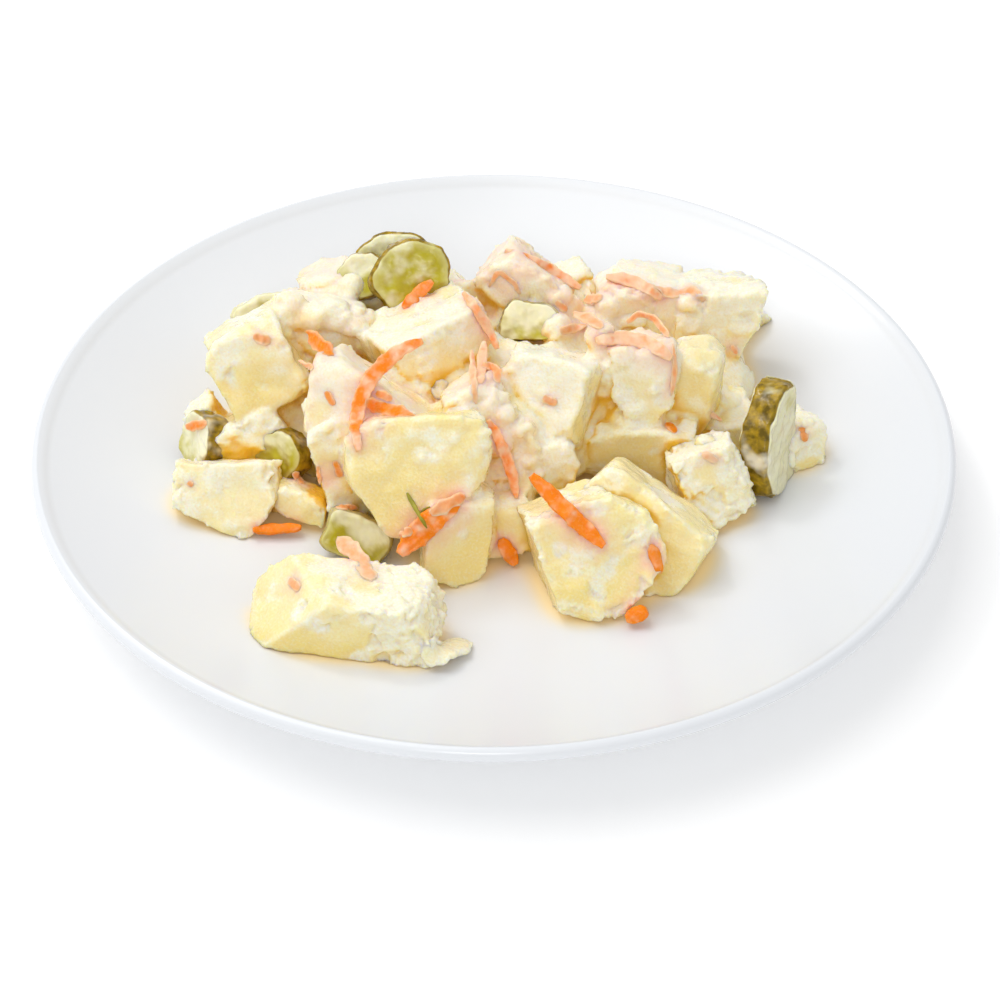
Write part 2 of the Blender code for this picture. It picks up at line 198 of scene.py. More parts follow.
print("noise at three points", noise(np.eye(3) * 0.5, wave=1.0).round(3))

# %% [markdown]
# ## Closed grids
# Most pieces here are lumps, slices or strips, which are all closed. The skin of a cube as
# one grid of quads can be carried into each of them, and it has no poles and no seams.

# %% Closed grids
def cube_skin(counts):
    """The skin of the cube from -1 to 1: points, and quads of point numbers that face outwards."""
    points, quads, start = [], [], 0
    for axis in range(3):
        across, along = (axis + 1) % 3, (axis + 2) % 3
        for side in (-1, 1):
            first, second = np.meshgrid(
                np.linspace(-1, 1, counts[across] + 1),
                np.linspace(-1, 1, counts[along] + 1),
                indexing="ij",
            )
            face = np.empty((first.size, 3))
            face[:, axis] = side
            face[:, across] = first.ravel()
            face[:, along] = second.ravel()
            number = start + np.arange(first.size).reshape(first.shape)
            corners = [number[:-1, :-1], number[1:, :-1], number[1:, 1:], number[:-1, 1:]]
            if side < 0:
                corners.reverse()
            quads.append(np.stack([corner.ravel() for corner in corners], axis=1))
            points.append(face)
            start += len(face)
    points, quads = np.concatenate(points), np.concatenate(quads)
    places = np.round(points, 6)
    first, number = np.unique(places, axis=0, return_index=True, return_inverse=True)[1:]
    return points[first], number.ravel()[quads]


def steps_of(size, spacing, least=8):
    """How many quads go along each side of a size, at one for each spacing, and at least so many."""
    return [max(least, round(side / spacing)) for side in size]


def unit(rows):
    """Each row of three numbers as a direction of length 1."""
    return rows / np.maximum(np.linalg.norm(rows, axis=1, keepdims=True), TINY)


def egg(size, counts):
    """An egg of a size in millimetres: the cube's skin with each point as far out as a ball's, stretched."""
    cube, quads = cube_skin(counts)
    return unit(cube) * np.array(size) / 2, quads


def normals_of(points, quads):
    """The outward direction at each point: the cross products of its quads' diagonals, added up."""
    first, second, third, fourth = (points[quads[:, corner]] for corner in range(4))
    facing = np.cross(third - first, fourth - second)
    total = np.zeros_like(points)
    for corner in range(4):
        np.add.at(total, quads[:, corner], facing)
    return unit(total)


def turning(turn):
    """The 3 by 3 matrix of a turn: spin as the viewer sees it, lean back, then yaw from above."""
    spin, lean, yaw = (math.radians(angle) for angle in turn)
    turned = Matrix.Rotation(yaw, 3, "Z") @ Matrix.Rotation(-lean, 3, "X") @ Matrix.Rotation(-spin, 3, "Y")
    return np.array(turned)


def placed(row, local):
    """Points from a row's own axes to the salad's: turned by its turn, then moved to its place."""
    return local @ turning(row.turn).T + np.array(row.place)


def own_axes(row, points):
    """Points from the salad's axes to a row's own, the other way round."""
    return (points - np.array(row.place)) @ turning(row.turn)


def numbered(piece, label, values):
    """Gives each point of a piece a number under a label, for its material to read."""
    layer = piece.data.attributes.new(label, "FLOAT", "POINT")
    layer.data.foreach_set("value", values.astype(np.float32))


def piece_from(name, points, quads, attributes=None):
    """A smooth mesh object from points in millimetres, quads, and one number a point for each attribute."""
    mesh = bpy.data.meshes.new(name)
    mesh.vertices.add(len(points))
    mesh.vertices.foreach_set("co", (points * MM).astype(np.float32).ravel())
    mesh.loops.add(quads.size)
    mesh.loops.foreach_set("vertex_index", quads.astype(np.int32).ravel())
    mesh.polygons.add(len(quads))
    mesh.polygons.foreach_set("loop_start", np.arange(0, quads.size, 4, dtype=np.int32))
    mesh.update(calc_edges=True)
    mesh.shade_smooth()
    made = shown(name, mesh)
    for label, values in (attributes or {}).items():
        numbered(made, label, values)
    return made


def mesh_points(mesh):
    """The points of a mesh, in millimetres."""
    found = np.empty(len(mesh.vertices) * 3, np.float32)
    mesh.vertices.foreach_get("co", found)
    return found.reshape(-1, 3).astype(float) / MM


def remade(points, quads, steps):
    """The outside of a mesh as points and quads, after steps of remeshing, growing or smoothing."""
    source = piece_from("skin_source", points, quads)
    for kind, value in steps:
        step = source.modifiers.new(kind, kind)
        if kind == "REMESH":
            step.mode = "VOXEL"
            step.voxel_size = value * MM
        elif kind == "DISPLACE":
            step.strength = value * MM
            step.mid_level = 0
        else:
            step.iterations = value
    bpy.context.view_layer.update()
    made = source.evaluated_get(bpy.context.evaluated_depsgraph_get()).to_mesh()
    found = mesh_points(made)
    corners = np.empty(len(made.loops), np.int32)
    made.loops.foreach_get("vertex_index", corners)
    bpy.data.objects.remove(source)
    return found, corners.reshape(-1, 4)


print("a cube's skin, 4 quads a side:", [part.shape for part in cube_skin((4, 4, 4))])

# %% [markdown]
# ## The plate
# A coupe plate is thrown or pressed on a wheel, so its shape is one profile turned round the
# middle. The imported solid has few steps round, and here the same profile gets 256 of them, a
# rounder lip and softened corners at the foot.

# %% Plate
PLATE_RADIUS = 125.0
PLATE_HEIGHT = 24.0
PLATE_WALL = 4.2
FLOOR_HEIGHT = 6.5
FLOOR_RADIUS = 62.0
FOOT_RADIUS = 70.0
FOOT_WIDTH = 4.0
FOOT_HEIGHT = 2.2
WALL_CURVE = 1.9
LIP_REACH = 2.0
PLATE_STEPS = 256
INNER_ROWS = 40
LIP_ROWS = 17
OUTER_ROWS = 24
UNDER_ROWS = 12
LIP_RADIUS = PLATE_RADIUS - PLATE_WALL / 2


def well_height(radius):
    """Height of the plate's upper face: flat, then rising with a power of the way to the lip."""
    share = np.maximum((radius - FLOOR_RADIUS) / (LIP_RADIUS - FLOOR_RADIUS), 0)
    return FLOOR_HEIGHT + (PLATE_HEIGHT - PLATE_WALL * 0.25 - FLOOR_HEIGHT) * share**WALL_CURVE


def plate_profile():
    """Rows of (radius, height) from the middle of the floor, over the lip and down to the foot."""
    inner = np.linspace(0, FLOOR_RADIUS, INNER_ROWS)
    inner = np.concatenate([inner, np.linspace(FLOOR_RADIUS, LIP_RADIUS - LIP_REACH, INNER_ROWS)[1:]])
    angle = np.radians(np.linspace(90, -90, LIP_ROWS))
    half = PLATE_WALL / 2
    lip = np.stack([LIP_RADIUS + half * np.cos(angle), PLATE_HEIGHT - half + half * np.sin(angle)], axis=1)
    outer = np.linspace(LIP_RADIUS - 3, FOOT_RADIUS + 2, OUTER_ROWS)
    foot = np.array(
        [
            (FOOT_RADIUS + 0.4, FOOT_HEIGHT + 0.2),
            (FOOT_RADIUS, FOOT_HEIGHT - 0.4),
            (FOOT_RADIUS - 0.3, 0.4),
            (FOOT_RADIUS - 0.8, 0.05),
            (FOOT_RADIUS - FOOT_WIDTH / 2, 0),
            (FOOT_RADIUS - FOOT_WIDTH, 0.05),
            (FOOT_RADIUS - FOOT_WIDTH - 0.5, 0.5),
            (FOOT_RADIUS - FOOT_WIDTH - 0.9, FOOT_HEIGHT),
        ]
    )
    under = np.linspace(FOOT_RADIUS - FOOT_WIDTH - 3, 0, UNDER_ROWS)
    return np.concatenate(
        [
            np.stack([inner, well_height(inner)], axis=1),
            lip,
            np.stack([outer, well_height(outer) - PLATE_WALL], axis=1),
            foot,
            np.stack([under, np.full(len(under), FOOT_HEIGHT)], axis=1),
        ]
    )


def turned_piece(name, profile, steps):
    """A closed surface: each row (radius, height) of the profile carried round the middle."""
    angle = np.linspace(0, 2 * math.pi, steps, endpoint=False)
    ring = profile[1:-1]
    radius, height = ring[:, :1], ring[:, 1:]
    x, y = radius * np.cos(angle), radius * np.sin(angle)
    points = np.stack([x.ravel(), y.ravel(), np.broadcast_to(height, x.shape).ravel()], axis=1)
    number = np.arange(len(points)).reshape(x.shape)
    after = np.roll(number, -1, axis=1)
    rows = [number[:-1], after[:-1], after[1:], number[1:]]
    quads = np.stack([row.ravel() for row in rows], axis=1)[:, ::-1]
    mesh = bpy.data.meshes.new(name)
    poles = len(points) + np.arange(2)
    top = [(int(poles[0]), int(number[0, k]), int(after[0, k])) for k in range(steps)]
    bottom = [(int(poles[1]), int(after[-1, k]), int(number[-1, k])) for k in range(steps)]
    ends = np.array([[0, 0, profile[0, 1]], [0, 0, profile[-1, 1]]])
    whole = np.concatenate([points, ends]) * MM
    mesh.from_pydata(whole.tolist(), [], quads.tolist() + top + bottom)
    mesh.shade_smooth()
    return shown(name, mesh)


plate = turned_piece("plate_glazed", plate_profile(), PLATE_STEPS)
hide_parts("plate")
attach(plate, "root")
print("plate faces", len(plate.data.polygons))

# %% [markdown]
# ## Cut potato
# A chunk is what is left between knife cuts, so it is modelled as that: six planes of a box,
# each a little off square, and further cuts where one shows. Along a direction from the
# middle each plane would be met at some distance, and a power norm of those distances gives
# flat faces with rounded edges. The rows are the same as the solids' rows.

# %% Rows of chunks
# A row is a chunk's name, middle, size, turn, how sharp its edges are, its seed, and further
# cuts. A turn is spin, lean and yaw in degrees. A cut is an angle and a tilt of its direction,
# and how far it is from the middle.
Chunk = namedtuple("Chunk", "name place size turn edge seed cuts", defaults=((),))
HEAP_CHUNKS = (
    Chunk("left_wedge", (-63.8, 14, 33), (21.5, 22, 26), (29, 26, 0), 10, 1),
    Chunk("left_top", (-47, 27, 36), (23, 20, 16), (-4, 20, 0), 4, 2),
    Chunk("left_back", (-46, 46, 33), (15, 16, 16), (12, 12, 10), 5, 3),
    Chunk("top_middle", (-17, 19, 35), (31, 27, 22), (14, 14, 28), 8, 4, ((-70, 24, 10),)),
    Chunk("tall_middle", (-30, -9, 38.5), (36, 22, 24), (0, 25, -4), 9, 5, ((58, 0, 4.6),)),
    Chunk("slab_middle", (-41, -15, 23), (13, 20, 34), (8, 18, 12), 8, 6),
    Chunk(
        "front_middle", (-20, -27, 28), (38, 23, 31), (0, 34, 2), 6, 7,
        ((216, 0, 15.6), (-40, 0, 14.2), (133, 0, 20)),
    ),
    Chunk("front_low", (-10.2, -36.5, 16.8), (17, 17, 24), (-12, 14, 12), 7, 8),
    Chunk("cube", (14.8, 1, 32), (24.5, 21, 23.5), (-5, 31, -20), 16, 9),
    Chunk("central", (0, -10, 28), (17, 20, 32), (24, 26, 8), 6, 10),
    Chunk("lump", (14, -14, 21), (14, 13, 13), (0, 20, 20), 4, 11),
    Chunk("low_middle", (4, -30, 15), (14, 15, 14), (10, 10, 0), 6, 12),
    Chunk(
        "white_upright", (39.5, 8, 32.4), (18, 17, 22), (0, 20, 8), 9, 13,
        ((-45, 0, 9.4), (214, 0, 9.2)),
    ),
    Chunk("smooth_upright", (55.5, 13, 26.8), (13.5, 17, 26), (0, 14, -12), 4.5, 14),
    Chunk("back_right", (63, 43, 23), (23, 22, 31), (1, 12, -10), 13, 15, ((-22, 0, 9),)),
    Chunk("back_middle", (42, 47, 28), (26, 22, 20), (-4, 14, 4), 7, 16),
    Chunk("under_right", (40, 2, 15), (30, 20, 18), (0, 10, 0), 6, 17),
    Chunk("flat_right", (64, 15, 12), (18, 18, 11), (4, 0, 20), 8, 18),
    Chunk("pink_back", (9.4, 48, 35), (25, 20, 15), (-38, 20, 0), 8, 19),
    Chunk("pale_back", (23, 62, 27), (10, 10, 9), (10, 0, 30), 8, 20),
    Chunk("tiny_left", (-79, 9, 19), (9, 9, 9), (30, 10, 0), 6, 21),
    Chunk("small_left", (-67, 1, 18), (21, 13, 13), (32, 16, 6), 8, 22),
    Chunk("rear_left", (-60, 45, 15), (26, 22, 24), (0, 0, 25), 7, 23),
    Chunk("rear_middle", (-23, 52, 23), (28, 20, 26), (0, 0, -12), 7, 24),
    Chunk("rear_right", (44, 65, 14), (24, 18, 17), (0, 0, 16), 7, 25),
    Chunk("rear_centre", (12, 60, 16), (27, 20, 20), (0, -8, 8), 7, 26),
    Chunk("rear_low", (-40, 60, 13), (22, 18, 16), (0, -6, -24), 7, 27),
    Chunk("rear_side", (70, 62, 12), (17, 15, 13), (0, -6, 40), 6, 28),
    Chunk("pink_gap", (-8, 46, 30.5), (13, 12, 13), (-20, 20, 30), 5, 29),
)
LOOSE_CHUNKS = (
    Chunk(
        "potato_front_left", (-37.5, -68.5, 16.2), (51, 19, 19), (0, 8, -2), 8, 31,
        ((133, 24, 12.6), (22, 0, 23), (-20, 0, 25)),
    ),
    Chunk(
        "potato_front_right", (27, -45, 16.6), (31, 23, 33), (12, 30, 8), 9, 32,
        ((-50, 0, 13.5), (-130, 0, 17.5), (48, 0, 16)),
    ),
    Chunk("potato_right", (58, -14, 15), (19, 17, 21), (14, 24, 10), 7, 33, ((-132, 0, 11),)),
    Chunk("potato_smooth", (37.6, -36, 14), (36, 19, 27), (-28, 34, -12), 5, 34),
    Chunk("potato_left", (-71, -17, 11), (29, 16, 20), (0, 34, 0), 12, 35, ((244, 0, 8.1), (-41, 0, 10))),
    Chunk("potato_left_small", (-52, -18, 11), (14, 12, 8), (-8, 24, -6), 7, 36),
    Chunk("potato_far_right", (84, 4, 14), (12, 12, 16), (0, 10, 20), 6, 37),
)

# How much dressing lies on a chunk, how far boiling has torn it, how yellow its flesh is, how
# pink carrot has made the dressing, and whether the first two hold for its right end only. A
# chunk that isn't named has the usual look.
Look = namedtuple("Look", "coat torn gold pink uneven", defaults=(0.0, False))
USUAL = Look(0.55, 0.4, 0.35)
LOOKS = {
    "left_wedge": Look(0.25, 0.1, 0.45),
    "left_top": Look(0.45, 0.2, 0.3, 0.25),
    "left_back": Look(0.45, 0.2, 0.3, 0.35),
    "top_middle": Look(0.35, 0.35, 0.15),
    "tall_middle": Look(0.8, 0.1, 0.3, 0.3),
    "slab_middle": Look(0.6, 0.3, 0.2),
    "front_middle": Look(-0.15, 0.15, 0.8),
    "front_low": Look(0.1, 0.2, 0.5),
    "cube": Look(0.5, 0.4, 0.3),
    "central": Look(0.7, 0.6, 0.2, 0.2),
    "lump": Look(0.7, 0.6, 0.2),
    "low_middle": Look(0.15, 0.3, 0.6),
    "white_upright": Look(0.6, 0.7, 0.1),
    "smooth_upright": Look(0.08, 0.12, 0.5),
    "back_right": Look(0.5, 0.5, 0.05),
    "back_middle": Look(0.7, 0.4, 0.0, 0.2),
    # under_right's deep yellow is partly painted shade, for the shadow it lies in low in the heap.
    "under_right": Look(0.1, 0.45, 0.8),
    "flat_right": Look(0.3, 0.3, 0.5),
    "pink_back": Look(0.6, 0.35, 0.4, 0.5),
    "pink_gap": Look(0.7, 0.5, 0.2, 0.5),
    "tiny_left": Look(0.8, 0.3, 0.2),
    "small_left": Look(0.3, 0.35, 0.5),
    "potato_front_left": Look(0.6, 0.95, 0.45, 0.0, True),
    "potato_front_right": Look(-0.1, 0.3, 0.75),
    "potato_right": Look(0.5, 0.6, 0.3),
    "potato_smooth": Look(0.0, 0.12, 0.6),
    "potato_left": Look(0.15, 0.2, 0.3),
    "potato_left_small": Look(0.08, 0.2, 0.6),
    "potato_far_right": Look(0.5, 0.5, 0.2),
}
print("chunks", len(HEAP_CHUNKS) + len(LOOSE_CHUNKS))

# %% [markdown]
# A real chunk has more faces than that. The knife and the spoon nick its corners, its edges
# wander, and boiling roughens the edges first. So each chunk gets a few small cuts of its own,
# its points are pushed about by slow noise, and crumbs are raised most where two faces meet.

# %% Chunk form
CUT_SKEW = 0.09
CRISP = 3.0
NICKS = 12
NICK_SLANT = 0.12
NICK_NEAREST = 0.76
NICK_FURTHEST = 0.95
EDGE_START = 0.87
BEND_WAVE = 10.0
BEND_HEIGHT = 0.9
SPACING = 0.5
ROUGH_SPACING = 1.0
CUT_SPACING = 0.6
PLATE_GAP = 0.2


def knife_cuts(chunk):
    """The planes that bound a chunk: outward normals, and distances from its middle."""
    draw = random.Random(chunk.seed)
    normals, distances = [], []
    for axis in range(3):
        for side in (-1, 1):
            normal = np.array([draw.uniform(-CUT_SKEW, CUT_SKEW) for part in range(3)])
            normal[axis] = side
            normals.append(normal / np.linalg.norm(normal))
            distances.append(chunk.size[axis] / 2)
    for angle, tilt, distance in chunk.cuts:
        turn, rise = math.radians(angle), math.radians(tilt)
        flat = math.cos(rise)
        normals.append(np.array((math.cos(turn) * flat, -math.sin(rise), math.sin(turn) * flat)))
        distances.append(distance)
    for nick in range(NICKS):
        normal = np.array([draw.choice((-1, 1)) * draw.uniform(NICK_SLANT, 1) for axis in range(3)])
        normal /= np.linalg.norm(normal)
        corner = np.abs(normal) @ np.array(chunk.size) / 2
        normals.append(normal)
        distances.append(corner * draw.uniform(NICK_NEAREST, NICK_FURTHEST))
    return np.array(normals), np.array(distances)


def wander(points, wave, height, seed):
    """Three noises as a shift: each coordinate moves by its own noise, which bends edges and faces."""
    return height * np.stack([layered(points, wave, seed + 20 * axis, layers=2) for axis in range(3)], axis=1)


def level_of(chunk, points):
    """The power norm of a chunk's cuts, 1 on its skin, how it slopes, and 0 to 1 for how near an edge lies.

    The slope is the sum of the cuts' normals, each by its share in the norm. Where the two
    largest shares are alike, two faces meet.
    """
    normals, distances = knife_cuts(chunk)
    shares = np.maximum(points @ normals.T, 0) / distances
    power = chunk.edge * CRISP
    largest = np.maximum(shares.max(axis=1), TINY)
    scaled = shares / largest[:, None]
    total = np.maximum((scaled**power).sum(axis=1), TINY)
    slope = (scaled ** (power - 1) / distances) @ normals * (total ** (1 / power - 1))[:, None]
    second = np.partition(scaled, -2, axis=1)[:, -2]
    return largest * total ** (1 / power), slope, ease(EDGE_START, 1.0, second)


def bent(chunk, points):
    """The slow wander of a chunk's faces at points on its own axes."""
    return wander(points, BEND_WAVE, BEND_HEIGHT, chunk.seed)


def between_cuts(chunk):
    """A chunk before it is roughened: points on its own axes, and quads.

    A further cut passes near the middle, where directions spread out on it, so a chunk that
    has one starts from a finer grid.
    """
    spacing = CUT_SPACING if chunk.cuts else ROUGH_SPACING
    cube, quads = cube_skin(steps_of(chunk.size, spacing))
    way = unit(cube * np.array(chunk.size))
    points = way / level_of(chunk, way)[0][:, None]
    return points + bent(chunk, points), quads


def snapped(chunk, points):
    """The places on a chunk's faces nearest to points, how near an edge those lie, and how far off."""
    level, slope, edge = level_of(chunk, points - bent(chunk, points))
    steep = np.linalg.norm(slope, axis=1)
    off = (1 - level) / steep
    return points + slope * (off / steep)[:, None], edge, np.abs(off)


print("cuts of the first chunk", len(knife_cuts(HEAP_CHUNKS[0])[0]))

# %% Chunk skin
FLAKE_SIZE = 4.4
FLAKE_HEIGHT = 2.2
CRUMB_SIZE = 1.9
CRUMB_HEIGHT = 0.7
FRINGE_SIZE = 1.8
FRINGE_HEIGHT = 1.5
GRAIN_SIZE = 1.3
PATCH_SIZE = 9.0
SMEAR_SIZE = 10.0
DRESSING_THICKNESS = 0.7


def torn_relief(points, edge, torn, seed):
    """How far boiling has moved the skin, and where it is torn, 0 to 1.

    Knife-cut faces stay smooth. In patches, and along edges, flakes stand out or fell out,
    with crumbs on them, and grain lies over all.
    """
    where = points + wander(points, wave=4.0, height=0.8, seed=seed + 5)
    flakes = flaked(where, FLAKE_SIZE, seed, level=0.6, border=0.3)
    crumbs = flaked(where, CRUMB_SIZE, seed + 3, level=0.5, border=0.5)
    patch = ease(0.0, 0.35, layered(points, PATCH_SIZE, seed + 9, layers=2) + 1.1 * torn - 0.5)
    rim = edge * ease(-0.5, 0.3, noise(points, wave=6.0, seed=seed + 10) + torn - 0.2)
    worn = np.maximum(patch, 0.8 * rim)
    fringe = rim * np.maximum(noise(points, FRINGE_SIZE, seed + 12), 0) * FRINGE_HEIGHT
    relief = worn * (FLAKE_HEIGHT * flakes + CRUMB_HEIGHT * crumbs) + fringe
    relief += (0.08 + 0.16 * worn) * noise(points, GRAIN_SIZE, seed + 2)
    return relief, worn


def dressing_cover(points, normals, coat, seed):
    """Where dressing lies, 0 to 1: smears of noise, more on faces that look up and where coat is high."""
    smears = layered(points, SMEAR_SIZE, seed, layers=4) + 0.2 * normals[:, 2]
    return ease(-0.35, 0.45, smears + (coat - 0.5) * 1.5)


def settle(points, middle):
    """Points that would sink into the plate are drawn towards a middle until they are above it."""
    floor = well_height(np.hypot(points[:, 0], points[:, 1])) + PLATE_GAP
    middle = np.broadcast_to(middle, points.shape)
    top = np.maximum(middle[:, 2], floor + 1)
    share = np.where(points[:, 2] < floor, (top - floor) / (top - points[:, 2]), 1)
    drawn = middle + (points - middle) * share[:, None]
    drawn[:, 2] = np.maximum(points[:, 2], floor)
    return drawn


def tones(points, normals, coat, gold, middle, half):
    """Dressing and yellowness at points, with light painted in: a pale painted sheen on a chunk's upper half,
    and painted yellow shade towards its foot.
    """
    rise = (points[:, 2] - middle) / half + 0.6 * normals[:, 2] - 0.3
    rise += 0.7 * noise(points, wave=12.0, seed=33)
    # More coat up high is a painted sheen, and more gold low down is painted shade.
    coat = coat + 0.4 * ease(-0.2, 1.1, rise) - 0.12
    gold = gold + 0.75 * ease(0.4, -0.9, rise) - 0.15 * ease(0.2, 1.0, rise)
    return coat, np.clip(gold, 0, 1)


def coated(points, normals, coat, seed, middle):
    """Lays dressing on points, thickest in lumps, and gives the points and the cover."""
    cover = dressing_cover(points, normals, coat, seed)
    lumps = 0.3 + 0.3 * noise(points, wave=3.4, seed=90) + 0.2 * noise(points, wave=1.4, seed=91)
    return settle(points + normals * (cover * lumps * DRESSING_THICKNESS)[:, None], middle), cover


def potato_form(chunk):
    """Points, quads, cover, yellowness and wear of one loose chunk: cut, torn, coated, its cover and
    yellowness carrying painted sheen and shade.
    """
    look = LOOKS[chunk.name]
    local, quads = remade(*between_cuts(chunk), (("REMESH", SPACING),))
    local, edge = snapped(chunk, local)[:2]
    share = np.ones(len(local))
    if look.uneven:
        along = 2 * local[:, 0] / chunk.size[0] + 0.6 * noise(local, wave=8.0, seed=chunk.seed)
        share = 0.1 + 0.9 * ease(-0.1, 0.5, along)
    relief, worn = torn_relief(local, edge, look.torn * share, chunk.seed)
    local += normals_of(local, quads) * relief[:, None]
    points = placed(chunk, local)
    normals = normals_of(points, quads)
    middle = np.array(chunk.place)
    coat, gold = tones(points, normals, look.coat * share, look.gold, middle[2], chunk.size[2] / 2)
    points, cover = coated(points, normals, coat, seed=40 + chunk.seed, middle=middle)
    return points, quads, cover, gold, worn


loose_forms = {chunk.name: potato_form(chunk) for chunk in LOOSE_CHUNKS}
rough_forms = []
for chunk in HEAP_CHUNKS:
    local, quads = between_cuts(chunk)
    rough_forms.append((placed(chunk, local), quads))
print("points of loose potato", sum(len(form[0]) for form in loose_forms.values()))

# %% [markdown]
# ## What holds the heap together
# Under the chunks lie crumbs of potato mashed up with dressing: three soft lumps with a rough
# skin, which show in the gaps.

# %% Mash in the heap
Lump = namedtuple("Lump", "place size")
HEAP_CORE = (
    Lump((-42, 20, 12), (66, 54, 26)),
    Lump((0, 18, 16), (72, 78, 38)),
    Lump((46, 34, 12), (58, 58, 26)),
)
MASH_SPACING = 1.3
MASH_BEND = 1.2
MASH_SHRINK = 0.8
LUMP_WAVE = 7.0


def mash(lump, seed):
    """An egg of the lump's size, bent and roughened like torn potato, and shrunk a little."""
    points, quads = egg(lump.size, steps_of(lump.size, MASH_SPACING))
    points += wander(points, LUMP_WAVE, MASH_BEND, seed)
    relief = torn_relief(points, np.ones(len(points)), torn=1.0, seed=seed)[0] - MASH_SHRINK
    middle = np.array(lump.place)
    return settle(points + normals_of(points, quads) * relief[:, None] + middle, middle), quads


def joined(parts):
    """Points and quads of several closed parts as one mesh."""
    points, quads, start = [], [], 0
    for part_points, part_quads in parts:
        points.append(part_points)
        quads.append(part_quads + start)
        start += len(part_points)
    return np.concatenate(points), np.concatenate(quads)


mash_form = joined([mash(lump, seed=60 + index) for index, lump in enumerate(HEAP_CORE)])
print("points of mash", len(mash_form[0]))

# %% [markdown]
# ## Deep places, painted with shade
# Light that reaches a gap between the chunks has gone through potato on its way, and it comes
# out amber; here that amber is painted shade in the colour of the gaps. To know where the gaps
# are, the salad is filled into a coarse grid, which is then blurred. A point whose surroundings,
# just outside it, are mostly full lies deep.

# %% Fullness of the salad
CELL = 2.0
GRID_LOW = np.array((-100.0, -90.0, 0.0))
GRID_CELLS = (100, 95, 34)
CHUNK_REACH = 0.9


def grid_points(low, high):
    """The cells from low to high as index rows."""
    steps = [np.arange(low[axis], high[axis]) for axis in range(3)]
    return np.stack([part.ravel() for part in np.meshgrid(*steps, indexing="ij")], axis=1)


def middles_of(cells):
    """The middles of cells, in millimetres."""
    return (cells + 0.5) * CELL + GRID_LOW


def fill_chunk(full, chunk):
    """Marks the cells inside a chunk, where its cuts' norm is under 1."""
    reach = max(chunk.size) * CHUNK_REACH
    low = np.floor((np.array(chunk.place) - reach - GRID_LOW) / CELL).astype(int).clip(0)
    high = np.minimum(np.ceil((np.array(chunk.place) + reach - GRID_LOW) / CELL).astype(int), GRID_CELLS)
    cells = grid_points(low, high)
    level = level_of(chunk, own_axes(chunk, middles_of(cells)))[0]
    full[tuple(cells[level < 1].T)] = 1


def blurred(field, rounds):
    """A field whose cells are averaged with their neighbours along each axis, several times."""
    for turn in range(rounds):
        for axis in range(3):
            field = (np.roll(field, 1, axis) + 2 * field + np.roll(field, -1, axis)) / 4
    return field


def sampled(field, points):
    """The field at points, blended between the eight nearest cells."""
    place = np.clip((points - GRID_LOW) / CELL - 0.5, 0, np.array(GRID_CELLS) - 1.001)
    cell = np.floor(place).astype(int)
    share = place - cell
    total = np.zeros(len(points))
    for corner, weight in corners_of(share):
        total += weight * field[tuple((cell + corner).T)]
    return total


full = np.zeros(GRID_CELLS)
for chunk in HEAP_CHUNKS + LOOSE_CHUNKS:
    fill_chunk(full, chunk)
for lump in HEAP_CORE:
    cells = grid_points((0, 0, 0), GRID_CELLS)
    local = middles_of(cells) - np.array(lump.place)
    inside = np.linalg.norm(local / (np.array(lump.size) / 2), axis=1) < 1
    full[tuple(cells[inside].T)] = 1
near_full = blurred(full, rounds=3)
far_full = blurred(full, rounds=16)
print("cubic centimetres of salad", round(full.sum() * CELL**3 * MM))

# %% Depth, painted as shade
# TO_LIGHT points at the key light, and the next number is how strongly faces turned away from it are painted
# with amber shade.
TO_LIGHT = np.array((-0.53, 0.07, 0.85))
FAR_SIDE = 0.4
NEAR_STEP = 3.5
FAR_STEP = 7.0


def depth_of(points, normals):
    """Painted amber shade at a point, 0 to 1: how far light went through potato before it leaves there.

    It grows with the fullness a little way outside the point, near and far, and on a face that is
    turned away from the key light it is at least the far side's painted share.
    """
    near = sampled(near_full, points + normals * NEAR_STEP)
    far = sampled(far_full, points + normals * FAR_STEP)
    gap = ease(0.05, 0.5, 0.6 * near + 0.75 * far - 0.06 - 0.16 * normals[:, 2])
    return 1 - (1 - gap) * (1 - FAR_SIDE * ease(0.3, -0.7, normals @ TO_LIGHT))


print("depth low in the heap", depth_of(np.array([[0.0, 0.0, 15.0]]), np.array([[0.0, 0.0, 1.0]])).round(2))

# %% [markdown]
# Light that has gone through the potato also falls on the plate beside it, and warms its upper
# face. Here that warmth is painted light on the plate's upper face near the food.

# %% Painted glow on the plate
GLOW_ABOVE = np.array((0, 0, 5))
plate_points = mesh_points(plate.data)
upper = plate_points[:, 2] > well_height(np.hypot(plate_points[:, 0], plate_points[:, 1])) - 1
glow = upper * ease(0.03, 0.5, sampled(blurred(full, rounds=6), plate_points + GLOW_ABOVE))
numbered(plate, "glow", glow)
print("points of the plate that glow", np.count_nonzero(glow))


# %% Pieces of potato
def potato_piece(name, points, quads, coat, gold, torn, pink=0.0):
    """A piece of potato, mash or dressing with the numbers that its material reads."""
    count = len(points)
    attributes = {
        "coat": np.broadcast_to(coat, count),
        "gold": np.broadcast_to(gold, count),
        "torn": np.broadcast_to(torn, count),
        # deep is painted amber shade, in gaps and on faces turned away from the key light.
        "deep": depth_of(points, normals_of(points, quads)),
        "stain": np.broadcast_to(pink, count) * ease(-0.6, 0.4, layered(points, wave=8.0, seed=81)),
    }
    made = piece_from(name, points, quads, attributes)
    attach(made, "root")
    return made


potatoes = []
for chunk in LOOSE_CHUNKS:
    made = potato_piece(chunk.name + "_cut", *loose_forms[chunk.name])
    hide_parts(chunk.name)
    potatoes.append(made)
print("faces of loose potato", sum(len(piece.data.polygons) for piece in potatoes))

# %% [markdown]
# ## Places named by pixels
# The lens shows where small things lie better than any guess in space. A line of sight
# through a pixel is cast onto the food, and what it meets first carries the small thing, so
# that it lies on the food seen from any side.

